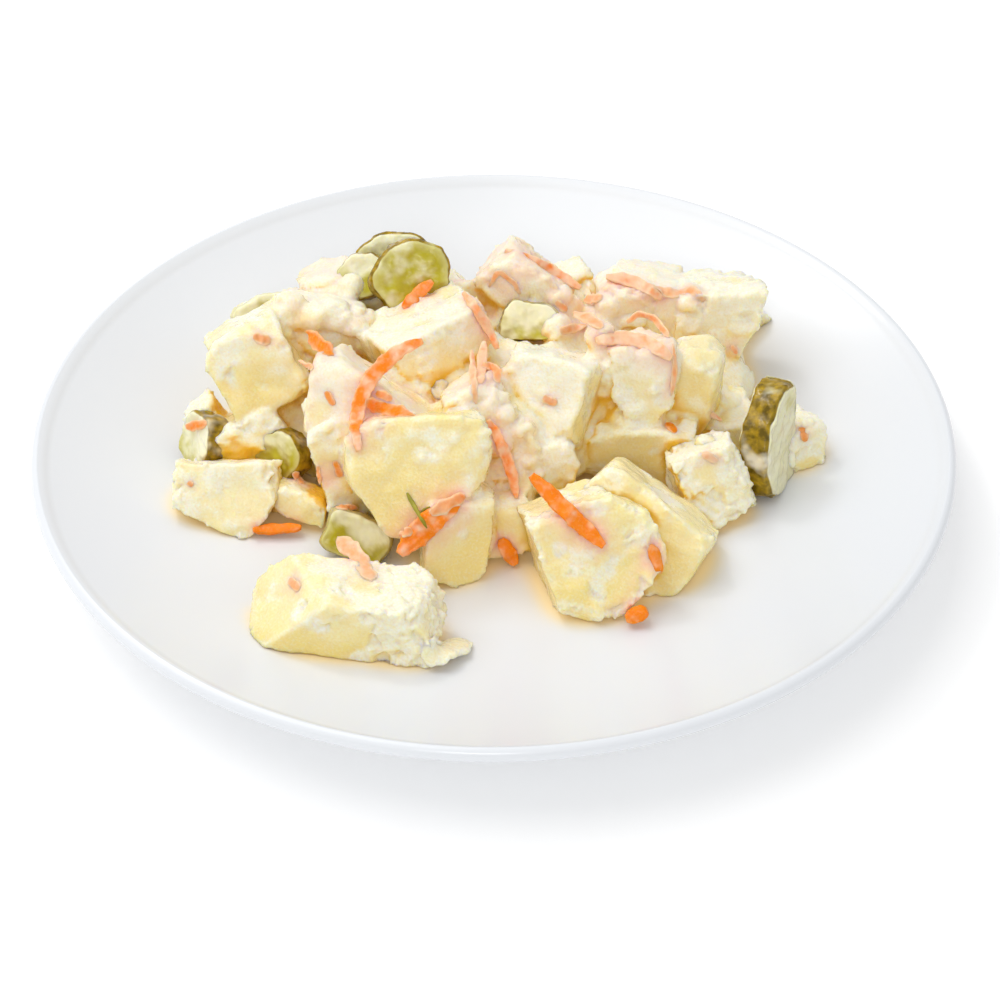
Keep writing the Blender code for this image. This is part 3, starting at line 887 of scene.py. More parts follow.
# %% Casting onto the food
heap_rough = piece_from("heap_rough", *joined(rough_forms + [mash_form]))


def on_food(across, down):
    """Where a line of sight first meets the food or plate, in millimetres, and how that faces."""
    graph = bpy.context.evaluated_depsgraph_get()
    found = bpy.context.scene.ray_cast(graph, EYE, sight_line(across, down))
    return np.array(found[1]) / MM, np.array(found[2])


print("the picture's middle shows the food at", on_food(PICTURE / 2, PICTURE / 2)[0].round(1))

# %% [markdown]
# ## Dressing
# Dressing and crumbs close the gaps. Lumps of it lie where the picture shows white or pink
# masses. Then the whole heap is grown by some millimetres, which closes narrow gaps, and
# shrunk again, which leaves the gaps closed. The result lies just under the chunks' faces, so
# only its fillets and bridges show, and it is pushed back where it would hide a gherkin slice.

# %% Lumps of dressing
# A dollop is named by its pixel. Its lift is how far it stands off the food towards the eye.
Dollop = namedtuple("Dollop", "pixel width height lift", defaults=(0,))
DOLLOPS = (
    Dollop((288, 311), 10, 8),
    Dollop((300, 318), 11, 8),
    Dollop((318, 306), 12, 8),
    Dollop((338, 312), 12, 9),
    Dollop((352, 326), 10, 8),
    Dollop((366, 320), 9, 7),
    Dollop((383, 314), 9, 6),
    Dollop((367, 301), 9, 9, 4),
    Dollop((345, 290), 9, 8),
    Dollop((418, 388), 9, 6),
    Dollop((558, 298), 8, 7),
    Dollop((562, 312), 12, 9),
    Dollop((580, 306), 12, 9),
    Dollop((577, 325), 11, 9),
    Dollop((580, 309), 12, 10, 4),
    Dollop((585, 321), 12, 10, 14),
    Dollop((586, 334), 12, 10, 16),
    Dollop((577, 330), 10, 9, 5),
    Dollop((596, 314), 11, 9),
    Dollop((610, 300), 11, 9),
    Dollop((562, 333), 10, 8),
    Dollop((580, 341), 9, 8),
    Dollop((600, 345), 8, 9),
    Dollop((610, 330), 9, 7),
    Dollop((633, 322), 10, 7),
    Dollop((520, 430), 9, 7),
    Dollop((505, 412), 9, 7),
    Dollop((497, 445), 8, 8),
    Dollop((690, 300), 10, 7),
    Dollop((707, 440), 8, 6),
    Dollop((730, 400), 9, 8),
)
SUNK = 0.3
DOLLOP_QUADS = (10, 10, 10)
DOLLOP_BEND = 0.1
NOISE_SHIFT = 31.0


def dollop_form(dollop, seed):
    """A lump whose middle lies under the food's surface, or is lifted from it towards the eye."""
    place, facing = on_food(*dollop.pixel)
    deep = (dollop.width + dollop.height) / 2
    points, quads = egg((dollop.width, deep, dollop.height), DOLLOP_QUADS)
    points += wander(points + seed * NOISE_SHIFT, LUMP_WAVE, DOLLOP_BEND * dollop.width, seed)
    towards = np.array(EYE) / MM - place
    lift = towards / np.linalg.norm(towards) * dollop.lift
    return points + place + lift - facing * SUNK * deep, quads


dollops = [dollop_form(dollop, seed=400 + index) for index, dollop in enumerate(DOLLOPS)]
print("lumps of dressing", len(dollops))

# %% Rows of gherkins
# A slice's look is how much dressing is smeared on it, how pale its flesh is and how dark its
# rind. Of its height only the share keep is left, and a square above 2 makes it less round.
Slice = namedtuple("Slice", "name place size turn look keep square", defaults=(1.0, 2.0))
GHERKINS = (
    Slice("gherkin_top", (-23, 37, 46), (23, 6, 21), (20, 34, 12), (-0.1, -0.4, 1)),
    Slice("gherkin_top_left", (-36, 43, 42), (15, 6, 13), (12, 40, -10), (0.3, 0.6, 1)),
    Slice("gherkin_top_rear", (-27, 51, 41), (24, 5, 18), (-4, 34, 0), (0.0, 0.3, 1)),
    Slice("gherkin_low", (-36, -34, 12), (18, 6, 12.5), (-28, 30, 0), (-0.3, 0.2, 0.6), 1.0, 6.0),
    Slice("gherkin_middle", (10, 33, 32), (19, 9, 14), (0, 44, 0), (0.2, 0.75, 0.8), 0.8),
    Slice("gherkin_left", (-79, 0, 17), (16, 7, 17), (0, 20, -60), (0.3, 0.8, 1)),
    Slice("gherkin_left_front", (-57, -6, 17), (15, 7, 15), (0, 30, -35), (0.0, 0.0, 1)),
    Slice("gherkin_back_left", (-63, 39, 31.5), (20.5, 8, 12), (14, 40, 6), (0.0, 0.2, 0.15), 1.0, 2.6),
    Slice("gherkin_right", (77, -1, 21), (33, 9, 33), (86, 8, 62), (0.0, 1.2, 1), 0.6),
)
print("slices", len(GHERKINS))

# %% Dressing in the gaps
VOXEL = 0.9
WIDE_VOXEL = 1.2
GAP_REACH = 1.3
FILL_DEPTH = 0.7
HEAP_MIDDLE = (0, 15, 22)
CLEARED = 8.0
CLEARED_SHARE = 0.93
CLOSING = (
    ("REMESH", VOXEL),
    ("DISPLACE", GAP_REACH),
    ("REMESH", WIDE_VOXEL),
    ("SMOOTH", 5),
    ("DISPLACE", -GAP_REACH),
    ("REMESH", VOXEL),
    ("SMOOTH", 4),
)


def push_back(points, piece):
    """Moves points that lie close in front of a slice to the middle of its thickness."""
    local = own_axes(piece, points)
    share = local / (np.array(piece.size) / 2)
    before = (share[:, 1] < 0) & (local[:, 1] > -CLEARED)
    before &= np.hypot(share[:, 0], share[:, 2]) < CLEARED_SHARE
    local[before, 1] = 0
    points[before] = placed(piece, local[before])


heap_parts = rough_forms + [mash_form] + dollops
skin_points, skin_quads = remade(*joined(heap_parts), CLOSING)
skin_normals = normals_of(skin_points, skin_quads)
rough = torn_relief(skin_points, np.ones(len(skin_points)), torn=0.9, seed=70)[0]
fill = 0.4 * layered(skin_points, wave=9.0, seed=70, layers=2) + 0.35 * rough - FILL_DEPTH
skin_points = settle(skin_points + skin_normals * fill[:, None], HEAP_MIDDLE)
for piece in GHERKINS:
    push_back(skin_points, piece)
print("points of dressing", len(skin_points))

# %% [markdown]
# ## The heap as one skin
# Light spreads inside potato from chunk to chunk, and that only works in one closed skin. So
# all chunks and the dressing are remeshed together in small voxels. Each point of the new
# skin is then given to the chunk whose face it lies on, or to the dressing, and gets its
# relief, cover and colour from that.

# %% One skin
HEAP_VOXEL = 0.87
ON_FACE = 0.5
OFF_FACE = 1.1
DRESSING_TORN = 0.4
DRESSING_COAT = 0.7
heap_parts = rough_forms + dollops + [(skin_points, skin_quads)]
heap_points, heap_quads = remade(*joined(heap_parts), (("REMESH", HEAP_VOXEL),))
print("points of the heap", len(heap_points))


def owners(points):
    """For each point the chunk whose face is nearest, how far off it is, its edge, and the place on it."""
    number = np.zeros(len(points), int)
    nearest = np.full(len(points), FAR)
    edge = np.zeros(len(points))
    on_face = points.copy()
    for index, chunk in enumerate(HEAP_CHUNKS):
        local = own_axes(chunk, points)
        close = np.flatnonzero(np.linalg.norm(local, axis=1) < max(chunk.size) * CHUNK_REACH)
        onto, near_edge, off = snapped(chunk, local[close])
        better = off < nearest[close]
        chosen = close[better]
        nearest[chosen] = off[better]
        number[chosen] = index
        edge[chosen] = near_edge[better]
        on_face[chosen] = placed(chunk, onto[better])
    return number, nearest, edge, on_face


owner, off, edge, on_face = owners(heap_points)
between = ease(ON_FACE, OFF_FACE, off)
heap_points += (on_face - heap_points) * (1 - between)[:, None]
looks = np.array([LOOKS.get(chunk.name, USUAL)[:4] for chunk in HEAP_CHUNKS])
coat, torn, gold, pink = looks[owner].T
middles = np.array([chunk.place for chunk in HEAP_CHUNKS], float)[owner]
halves = np.array([chunk.size[2] / 2 for chunk in HEAP_CHUNKS])[owner]
torn = torn + (DRESSING_TORN - torn) * between
relief, worn = torn_relief(heap_points, edge * (1 - between), torn, seed=50)
heap_points += normals_of(heap_points, heap_quads) * relief[:, None]
heap_normals = normals_of(heap_points, heap_quads)
# A painted sheen on each chunk's upper half, and painted shade towards its foot.
coat, gold = tones(heap_points, heap_normals, coat, gold, middles[:, 2], halves)
coat = coat + (DRESSING_COAT - coat) * between
heap_points, cover = coated(heap_points, heap_normals, coat, seed=51, middle=middles)
bpy.data.objects.remove(heap_rough)
heap = potato_piece("heap_potato", heap_points, heap_quads, cover, gold, worn, pink)
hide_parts("salad_heap")
potatoes.append(heap)
print("faces of the heap", len(heap.data.polygons))

# %% [markdown]
# ## Gherkin slices
# A slice is a disc with a thin tough rind round its side and wet flesh on its faces, in which
# three groups of seeds lie round the middle. The cube's skin is carried into a disc, so the
# faces need no pole, and the seeds are both in the relief and in an attribute for the colour.

# %% Gherkin surfaces
RIB_HEIGHT = 0.03
RIBS = 5
ROUNDING = 0.7
GHERKIN_SPACING = 0.45
SEED_GROUPS = 3
SEEDS_IN_GROUP = 4
SEED_SPREAD = 0.32
SEED_RING = 0.5
SEED_WIDTH = 0.06


def seeds_at(x, z, seed):
    """Pale seeds, 0 to 1: drops that point to the middle, in three groups at half the radius."""
    angle, radius = np.arctan2(z, x), np.hypot(x, z)
    total = np.zeros(len(x))
    draw = random.Random(seed)
    for group in range(SEED_GROUPS):
        for place in range(SEEDS_IN_GROUP):
            around = group * 2 * math.pi / SEED_GROUPS + (place - (SEEDS_IN_GROUP - 1) / 2) * SEED_SPREAD
            around += draw.uniform(-0.14, 0.14)
            out = SEED_RING + draw.uniform(-0.1, 0.1)
            sideways = np.sin(angle - around) * radius
            along = np.cos(angle - around) * radius - out
            reach = (sideways / SEED_WIDTH) ** 2 + (along / draw.uniform(0.1, 0.16)) ** 2
            total = np.maximum(total, draw.uniform(0.2, 1) * (1 - ease(0.3, 1.6, reach)))
    return total


def slice_form(piece, seed):
    """A slice on its own axes: the cube's skin squeezed to a ribbed disc along Y, its edge rounded.

    It comes as points, quads, how far out each point is, its seeds, and whether it is cut off.
    """
    width, thickness, height = piece.size
    cube, quads = cube_skin(steps_of(piece.size, GHERKIN_SPACING))
    x = cube[:, 0] * np.sqrt(1 - cube[:, 2] ** 2 / 2)
    z = cube[:, 2] * np.sqrt(1 - cube[:, 0] ** 2 / 2)
    rim = np.hypot(x, z)
    depth = cube[:, 1]
    face = ease(0.95, 1, np.abs(depth))
    edge = ease(1 - ROUNDING / thickness * 3.2, 1, np.abs(depth)) * ease(0.9, 1, rim)
    angle = np.arctan2(z, x)
    rib = 1 + RIB_HEIGHT * np.cos(RIBS * angle + seed) - 0.045 * edge
    around = np.stack([np.cos(angle), np.sin(angle), np.full(len(angle), seed)], axis=1)
    power = piece.square
    rib += 0.2 / power * layered(around, wave=0.7, seed=seed, layers=2)
    rib *= (np.abs(np.cos(angle)) ** power + np.abs(np.sin(angle)) ** power) ** (-1 / power)
    seeds = seeds_at(x, z, seed) * face
    local = np.stack([width / 2 * x * rib, thickness / 2 * depth, height / 2 * z * rib], axis=1)
    local[:, 1] *= 1 - 0.12 * edge
    hollow = 0.15 * seeds - 0.5 * ease(0.85, 0.2, rim)
    local[:, 1] += np.sign(depth) * hollow * (np.abs(depth) > 0.99)
    local += wander(local, wave=9.0, height=0.5, seed=seed)
    fine = 0.4 * noise(local, wave=3.2, seed=seed) + 0.16 * noise(local, wave=1.3, seed=seed + 1)
    local += normals_of(local, quads) * fine[:, None]
    cut = np.zeros(len(local), bool)
    if piece.keep < 1:
        level = (0.5 - piece.keep) * height
        cut = local[:, 2] < level
        local[cut, 2] = level + 0.2 * noise(local[cut], wave=2.0, seed=seed)
    return local, quads, rim, seeds, cut


def gherkin(piece):
    """A slice as a piece, with the numbers that its material reads. Its upper half is painted paler as a
    sheen, and its lower half darker as shade.
    """
    seed = len(piece.name)
    local, quads, rim, seeds, cut = slice_form(piece, seed)
    points = settle(placed(piece, local), np.array(piece.place))
    normals = normals_of(points, quads)
    coat, pale, rind = piece.look
    wet = 0.8 * layered(points, wave=6.0, seed=seed + 3, layers=4)
    attributes = {
        "rim": np.where(cut, 0.5, rim),
        "rind": rind * ease(0.95, 0.985, rim + 0.035 * layered(points, wave=7.0, seed=seed + 4)) * ~cut,
        "seeds": seeds * ~cut,
        # pale paints the slice lighter towards its upper half and darker towards its lower half, a painted
        # sheen and shade, with random wet patches.
        "pale": ease(-0.5, 0.9, local[:, 2] / piece.size[2] * 2.4 + wet + pale - 0.3),
        "coat": dressing_cover(points, normals, coat, seed + 8),
        # deep is painted shade, in gaps and on faces turned away from the key light.
        "deep": depth_of(points, normals),
    }
    made = piece_from(piece.name + "_slice", points, quads, attributes)
    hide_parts(piece.name)
    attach(made, "root")
    return made


slices = {piece.name: gherkin(piece) for piece in GHERKINS}
print("faces of gherkin", sum(len(piece.data.polygons) for piece in slices.values()))

# %% [markdown]
# ## Grated carrot
# A grater leaves curved strips, flat on two sides and ragged along their edges, that get
# thinner at their ends. A strip is an arc in the plane of its broad face, twisted along its
# length.

# %% Rows of carrot
# Bend and twist are in degrees over a shred's length, and its coat is how much pale dressing is
# rubbed into it.
Shred = namedtuple("Shred", "name place size turn bend twist coat")
CARROT_SHREDS = (
    Shred("carrot_arch", (-32.6, -14.2, 48.2), (38, 1.8, 4.2), (52, 54, 12), 85, 10, 0.35),
    Shred("carrot_front_right", (18.9, -47, 32), (26, 2.2, 4.6), (-50, 46, 8), -6, 10, 0.05),
    Shred("carrot_front", (-17, -42, 23), (21, 2.4, 6.4), (36, 40, 10), 14, 10, 0.15),
    Shred("carrot_back", (14.2, 51, 39.6), (24, 2.0, 3.4), (-36, 44, 16), 14, 0, 0.6),
    Shred("carrot_upright", (38.5, 10, 44), (22, 2.0, 4.6), (-14, 56, 0), 60, 20, 0.65),
    Shred("carrot_gherkin", (-21, 31.5, 44), (11, 2.0, 3.6), (38, 40, 6), 0, 0, 0.1),
    Shred("carrot_centre", (3.5, -21.5, 29), (22, 2.0, 3.2), (-70, 36, 0), 24, 0, 0.35),
    Shred("carrot_drape", (-3, 18.4, 45.2), (18, 2.0, 2.8), (-58, 40, 0), 20, 0, 0.55),
    Shred("carrot_pale", (-3, 0, 43.5), (14, 2.0, 2.8), (86, 68, 0), 0, 0, 0.9),
    Shred("carrot_back_right", (40, 42.8, 39.9), (17, 2.0, 3.6), (-22, 44, 0), 40, 10, 0.8),
    Shred("carrot_low", (4, -37, 9.5), (8, 2.0, 4.0), (-60, 30, 0), 0, 0, 0.0),
    Shred("carrot_left_low", (-58, -26, 8.0), (13, 2.0, 3.0), (3, 60, 0), 0, 0, -0.1),
    Shred("carrot_side_bit", (42, -50, 18.5), (8, 2.0, 3.4), (-80, 40, 14), 20, 0, 0.05),
    Shred("carrot_plate_bit", (37, -61, 9), (6, 3.0, 4.4), (20, 30, 0), 0, 0, 0.0),
)
print("shreds", len(CARROT_SHREDS))

# %% Carrot surfaces
CARROT_SPACING = 0.35
RIDGE_STRETCH = np.array((0.35, 1, 1))
SHOWN_SHARE = 0.3
STATIONS = 30
HIGHEST_LIFT = 5.0
STRAIGHT = 1e-6


def rounding(cube, power):
    """A factor that rounds a strip's section: how far a square reaches over how far a circle does."""
    square = np.maximum(np.abs(cube[:, 1]), np.abs(cube[:, 2]))
    return (square / np.maximum(np.hypot(cube[:, 1], cube[:, 2]), TINY)) ** power


def strip(cube, size, bend, twist, seed):
    """A strip along X: an arc of the given bend, its section a rounded bar that thins at the ends."""
    length, thickness, width = size
    share = cube[:, 0] / 2
    turn = math.radians(bend) or STRAIGHT
    radius = length / turn
    slim = 1 - 0.62 * np.abs(2 * share) ** 3
    round_off = rounding(cube, power=0.45)
    flat = thickness / 2 * cube[:, 1] * round_off * (0.75 + 0.25 * slim)
    wide = width / 2 * cube[:, 2] * round_off * slim
    along = np.stack([share * length, np.zeros(len(share)), cube[:, 2] * 2], axis=1)
    ragged = 1 + 0.12 * noise(along, wave=3.0, seed=seed) + 0.1 * noise(along, wave=1.2, seed=seed + 2)
    flat, wide = flat * (1 + 0.12 * noise(along, wave=4.0, seed=seed + 1)), wide * ragged
    spin = math.radians(twist) * share
    side = flat * np.cos(spin) - wide * np.sin(spin)
    rise = flat * np.sin(spin) + wide * np.cos(spin)
    angle = turn * share
    out = radius + rise
    return np.stack([np.sin(angle) * out, side, np.cos(angle) * out - radius], axis=1)


def square_of(cube):
    """0 along the middle of a strip, up to 1 at its long edges and its ends."""
    return np.maximum(np.abs(cube[:, 2]), np.abs(cube[:, 0]) ** 4) ** 3


def lifted(points, share, cover):
    """Moves a strip towards the eye, section by section, until the food no longer covers it.

    A move along the line of sight keeps the strip where the picture shows it.
    """
    graph = bpy.context.evaluated_depsgraph_get()
    number = np.minimum((share * STATIONS).astype(int), STATIONS - 1)
    moves = np.zeros(STATIONS)
    for station in np.unique(number):
        middle = points[number == station].mean(axis=0)
        sight = Vector(middle * MM) - EYE
        found = bpy.context.scene.ray_cast(graph, EYE, sight.normalized())
        if found[0]:
            moves[station] = max(0, (sight.length - (found[1] - EYE).length) / MM + cover)
    moves = np.minimum(moves, HIGHEST_LIFT)
    for turn in range(3):
        moves[1:-1] = np.maximum(moves[1:-1], (moves[:-2] + moves[2:]) / 2)
    move = np.interp(share, (np.arange(STATIONS) + 0.5) / STATIONS, moves)
    return points + unit(np.array(EYE) / MM - points) * move[:, None]


def carrot(piece):
    """A shred as a piece, with fine ridges left by the grater."""
    seed = 100 + len(piece.name)
    cube, quads = cube_skin(steps_of(piece.size, CARROT_SPACING, least=6))
    local = strip(cube, piece.size, piece.bend, piece.twist, seed)
    ridges = noise(local * RIDGE_STRETCH, wave=1.2, seed=seed)
    fine = 0.2 * ridges + 0.08 * noise(local, wave=1.6, seed=seed + 4)
    local += normals_of(local, quads) * fine[:, None]
    points = lifted(placed(piece, local), (cube[:, 0] + 1) / 2, piece.size[1] * SHOWN_SHARE)
    points = settle(points, np.array(piece.place))
    rubbed = piece.coat * (1 + 0.5 * square_of(cube))
    cover = ease(0.0, 0.9, 0.5 * layered(points, wave=3.0, seed=seed + 2, layers=3) + rubbed)
    made = piece_from(piece.name + "_shred", points, quads, {"coat": cover})
    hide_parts(piece.name)
    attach(made, "root")
    return made


shreds = {piece.name: carrot(piece) for piece in CARROT_SHREDS}
print("faces of carrot", sum(len(piece.data.polygons) for piece in shreds.values()))

# %% [markdown]
# ## Small bits on the food
# Flecks and thin shreds of carrot, dill and flakes of potato, all too small for a solid, lie
# on the food and follow its surface. Each row names the pixels of the picture that a bit runs
# through, its width in millimetres and how much dressing is on it. Lines of sight through the
# pixels are cast onto the food, so the bit lies on what carries it, seen from any side.

# %% Rows of bits
Bit = namedtuple("Bit", "pixels width coat")
CARROT_BITS = (
    Bit(((307, 332), (316, 341), (331, 356)), 4.6, 0.0),
    Bit(((365, 402), (388, 409), (412, 416)), 4.4, 0.05),
    Bit(((376, 392), (392, 400)), 2.4, 0.2),
    Bit(((253, 337), (271, 341)), 2.8, 0.45),
    Bit(((326, 391), (334, 405)), 2.0, 0.2),
    Bit(((335, 461), (341, 477)), 2.2, 0.2),
    Bit(((318, 466), (320, 484)), 1.4, 0.2),
    Bit(((299, 361), (313, 369)), 2.2, 0.6),
    Bit(((472, 350), (473, 376), (476, 404)), 2.0, 0.7),
    Bit(((482, 364), (496, 369), (498, 383)), 2.6, 0.35),
    Bit(((543, 397), (557, 404)), 2.8, 0.6),
    Bit(((289, 580), (300, 589)), 2.6, 0.55),
    Bit(((337, 539), (353, 551), (374, 580)), 4.6, 0.65),
    Bit(((186, 427), (207, 423)), 2.8, 0.2),
    Bit(((294, 472), (302, 484)), 2.2, 0.45),
    Bit(((336, 507), (357, 508)), 2.0, 0.45),
    Bit(((431, 514), (448, 504), (465, 496)), 3.6, 0.35),
    Bit(((400, 536), (412, 530)), 2.6, 0.4),
    Bit(((668, 423), (675, 433)), 2.8, 0.0),
    Bit(((673, 344), (675, 370), (671, 396)), 1.5, 0.6),
    Bit(((711, 414), (721, 420)), 2.0, 0.6),
    Bit(((702, 454), (718, 461)), 2.4, 0.8),
    Bit(((801, 427), (806, 441)), 2.4, 0.1),
    Bit(((732, 345), (737, 354)), 1.4, 0.6),
    Bit(((489, 287), (499, 271), (514, 282), (520, 294)), 1.8, 0.5),
    Bit(((556, 301), (567, 311)), 2.4, 0.5),
    Bit(((573, 314), (590, 318), (603, 328)), 3.0, 0.65),
    Bit(((584, 300), (603, 297)), 2.6, 0.6),
    Bit(((560, 331), (587, 325)), 2.8, 0.7),
    Bit(((653, 286), (668, 294), (682, 293), (692, 289), (704, 301)), 3.6, 0.6),
    Bit(((627, 322), (640, 313), (656, 319), (669, 338)), 2.2, 0.55),
    Bit(((188, 482), (193, 486)), 1.8, 0.3),
)
DILL = (
    Bit(((407, 493), (415, 507), (427, 528)), 1.1, 0.0),
    Bit(((421, 512), (430, 507)), 0.6, 0.0),
)
POTATO_FLAKES = (
    Bit(((422, 650), (438, 652), (454, 649), (468, 642)), 8.5, 0.4),
    Bit(((433, 395), (440, 389), (446, 381)), 5.0, 0.6),
)
print("bits of carrot", len(CARROT_BITS), "dill", len(DILL), "potato", len(POTATO_FLAKES))

# %% Bits laid on the food
STRAND_STEPS = 26
STEEPEST = 1.2
EVENINGS = 6
BIT_QUADS = (48, 4, 12)


def along_path(pixels, steps):
    """Pixels evenly spread along a line through the given ones, as far as each lies from the first."""
    marks = np.array(pixels, float)
    passed = np.concatenate([[0], np.cumsum(np.linalg.norm(np.diff(marks, axis=0), axis=1))])
    wanted = np.linspace(0, passed[-1], steps)
    return np.stack([np.interp(wanted, passed, marks[:, axis]) for axis in range(2)], axis=1)


def held_together(line):
    """A line on the food, drawn towards the eye where it would drop behind an edge of the food.

    No place may lie further off than another by more than STEEPEST times how far the two are
    apart in the picture, so a bit spans a gap, as a real one does.
    """
    eye = np.array(EYE) / MM
    ways = line - eye
    far = np.linalg.norm(ways, axis=1)
    ways /= far[:, None]
    apart = np.linalg.norm(ways[:, None] - ways, axis=2) * far.min()
    nearest = (far + STEEPEST * apart).min(axis=1)
    return eye + ways * nearest[:, None]


def evened(rows, rounds):
    """Rows of numbers averaged with the rows before and after, several times; the ends stay."""
    for turn in range(rounds):
        rows[1:-1] = (rows[:-2] + 2 * rows[1:-1] + rows[2:]) / 4
    return rows


def laid_strip(bit, thickness, seed):
    """A strip along a line on the food: an oval section carried along it, thin and narrow at its ends."""
    met = [on_food(*pixel) for pixel in along_path(bit.pixels, STRAND_STEPS)]
    line = evened(held_together(np.array([place for place, facing in met])), EVENINGS)
    facing = evened(np.array([facing for place, facing in met]), EVENINGS)
    ahead = unit(np.gradient(line, axis=0))
    aside = unit(np.cross(facing, ahead))
    facing = np.cross(ahead, aside)
    cube, quads = cube_skin(BIT_QUADS)
    share = (cube[:, 0] + 1) / 2 * (STRAND_STEPS - 1)
    low = np.minimum(share.astype(int), STRAND_STEPS - 2)
    part = (share - low)[:, None]
    spine, up, side = (rows[low] * (1 - part) + rows[low + 1] * part for rows in (line, facing, aside))
    slim = 1 - 0.6 * np.abs(cube[:, 0]) ** 4
    shrink = rounding(cube, power=0.7)
    ragged = 1 + 0.35 * noise(spine + side * cube[:, 2:] * 3, wave=3.0, seed=seed)
    wide = bit.width / 2 * cube[:, 2] * shrink * slim * ragged
    tall = thickness * (0.5 * cube[:, 1] * shrink + 0.05) * slim
    points = spine + side * wide[:, None] + up * tall[:, None]
    points += normals_of(points, quads) * (0.15 * noise(points, wave=1.3, seed=seed + 1))[:, None]
    cover = bit.coat + 0.5 * square_of(cube) + 0.3 * layered(points, wave=2.5, seed=77)
    return points, quads, np.clip(cover, 0, 1)


def laid_piece(name, bits, thickness, seed, levels=None):
    """All bits of one kind as one piece, with their dressing, and one level for each further number."""
    forms = [laid_strip(bit, thickness, seed + index) for index, bit in enumerate(bits)]
    cover = np.concatenate([form[2] for form in forms])
    numbers = {label: np.full(len(cover), level) for label, level in (levels or {}).items()}
    made = piece_from(name, *joined([form[:2] for form in forms]), {"coat": cover, **numbers})
    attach(made, "root")
    return made


carrot_bits = laid_piece("carrot_bits", CARROT_BITS, thickness=0.8, seed=200)
dill = laid_piece("dill_sprig", DILL, thickness=1.0, seed=300)
flake_levels = {"gold": 0.3, "torn": 0.5, "deep": 0.0, "stain": 0.0}
flakes = laid_piece("potato_flakes", POTATO_FLAKES, thickness=2.2, seed=320, levels=flake_levels)
potatoes.append(flakes)
print("faces of bits", sum(len(piece.data.polygons) for piece in (carrot_bits, dill, flakes)))

# %% [markdown]
# ## Blush
# Carrot colours the fat in the dressing, so the potato next to each shred is pink. The places
# of all carrot are marked in the coarse grid, blurred, and read back at the potato's points.

# %% Blush of the carrot
near_carrot = np.zeros(GRID_CELLS)
for piece in list(shreds.values()) + [carrot_bits]:
    cells = ((mesh_points(piece.data) - GRID_LOW) / CELL).astype(int)
    near_carrot[tuple(np.clip(cells, 0, np.array(GRID_CELLS) - 1).T)] = 1
near_carrot = blurred(near_carrot, rounds=2)
around_carrot = blurred(near_carrot, rounds=8)
for piece in potatoes:
    points = mesh_points(piece.data)
    patches = 0.12 * layered(points, wave=5.0, seed=80)
    blush = 0.8 * ease(0.03, 0.5, sampled(near_carrot, points) + patches)
    faint = 0.4 * ease(0.02, 0.16, sampled(around_carrot, points) + 0.3 * patches)
    numbers = piece.data.attributes["stain"].data
    own = np.empty(len(points), np.float32)
    numbers.foreach_get("value", own)
    stain = np.maximum.reduce([blush, faint, own])
    numbers.foreach_set("value", stain.astype(np.float32))
print("cells near carrot", np.count_nonzero(near_carrot))

# %% [markdown]
# ## Materials
# One function turns a hex colour into the linear numbers that the shaders work with, and one
# adds a node with its settings and links. The others are short names for nodes used often.

# %% Node helpers
def linear(colour):
    """An sRGB hex colour as linear red, green, blue and 1."""
    parts = [int(colour[place : place + 2], 16) / 255 for place in (1, 3, 5)]
    lit = [part / 12.92 if part <= 0.04045 else ((part + 0.055) / 1.055) ** 2.4 for part in parts]
    return (*lit, 1.0)


def add(tree, kind, inputs=None, **settings):
    """A node of a kind with its settings. An input is given an output to link, a hex colour or a value."""
    node = tree.nodes.new(kind)
    for key, value in settings.items():
        setattr(node, key, value)
    for key, value in (inputs or {}).items():
        if isinstance(value, bpy.types.NodeSocket):
            tree.links.new(value, node.inputs[key])
        else:
            node.inputs[key].default_value = linear(value) if isinstance(value, str) else value
    return node


def mixed(tree, factor, first, second):
    """The colour between two colours at a factor."""
    return add(tree, "ShaderNodeMix", {0: factor, 6: first, 7: second}, data_type="RGBA").outputs[2]


def attribute(tree, name):
    """A piece's own number by name."""
    return add(tree, "ShaderNodeAttribute", attribute_name=name).outputs["Fac"]


def wave_noise(tree, size, detail=2.0):
    """Noise on object coordinates with waves about size millimetres long, from 0 to 1."""
    place = add(tree, "ShaderNodeTexCoord").outputs["Object"]
    settings = {"Vector": place, "Scale": 1 / (size * MM), "Detail": detail}
    return add(tree, "ShaderNodeTexNoise", settings).outputs["Fac"]


def sums(tree, operation, first, second):
    """One sum of two numbers."""
    return add(tree, "ShaderNodeMath", {0: first, 1: second}, operation=operation).outputs[0]


def ranged(tree, value, low, high, top, bottom=0.0):
    """A number that runs from bottom to top while a value runs from low to high."""
    return add(tree, "ShaderNodeMapRange", {0: value, 1: low, 2: high, 3: bottom, 4: top}).outputs[0]


def bumped(tree, relief, strength, height, **under):
    """The surface's direction over a relief of a height in millimetres, on top of another bump."""
    inputs = {"Height": relief, "Strength": strength, "Distance": height * MM, **under}
    return add(tree, "ShaderNodeBump", inputs).outputs[0]


def blank_material(name):
    """A material without nodes, and its node tree."""
    made = bpy.data.materials.new(name)
    made.use_nodes = True
    made.node_tree.nodes.clear()
    return made, made.node_tree


def shade(pieces, material, inputs):
    """Gives a material its shader with some inputs, and pieces the material."""
    shader = add(material.node_tree, "ShaderNodeBsdfPrincipled", inputs)
    add(material.node_tree, "ShaderNodeOutputMaterial", {"Surface": shader.outputs[0]})
    for piece in pieces:
        piece.data.materials.append(material)
    print("pieces of", material.name, len(pieces))


print("mid grey as a linear colour", linear("#808080"))

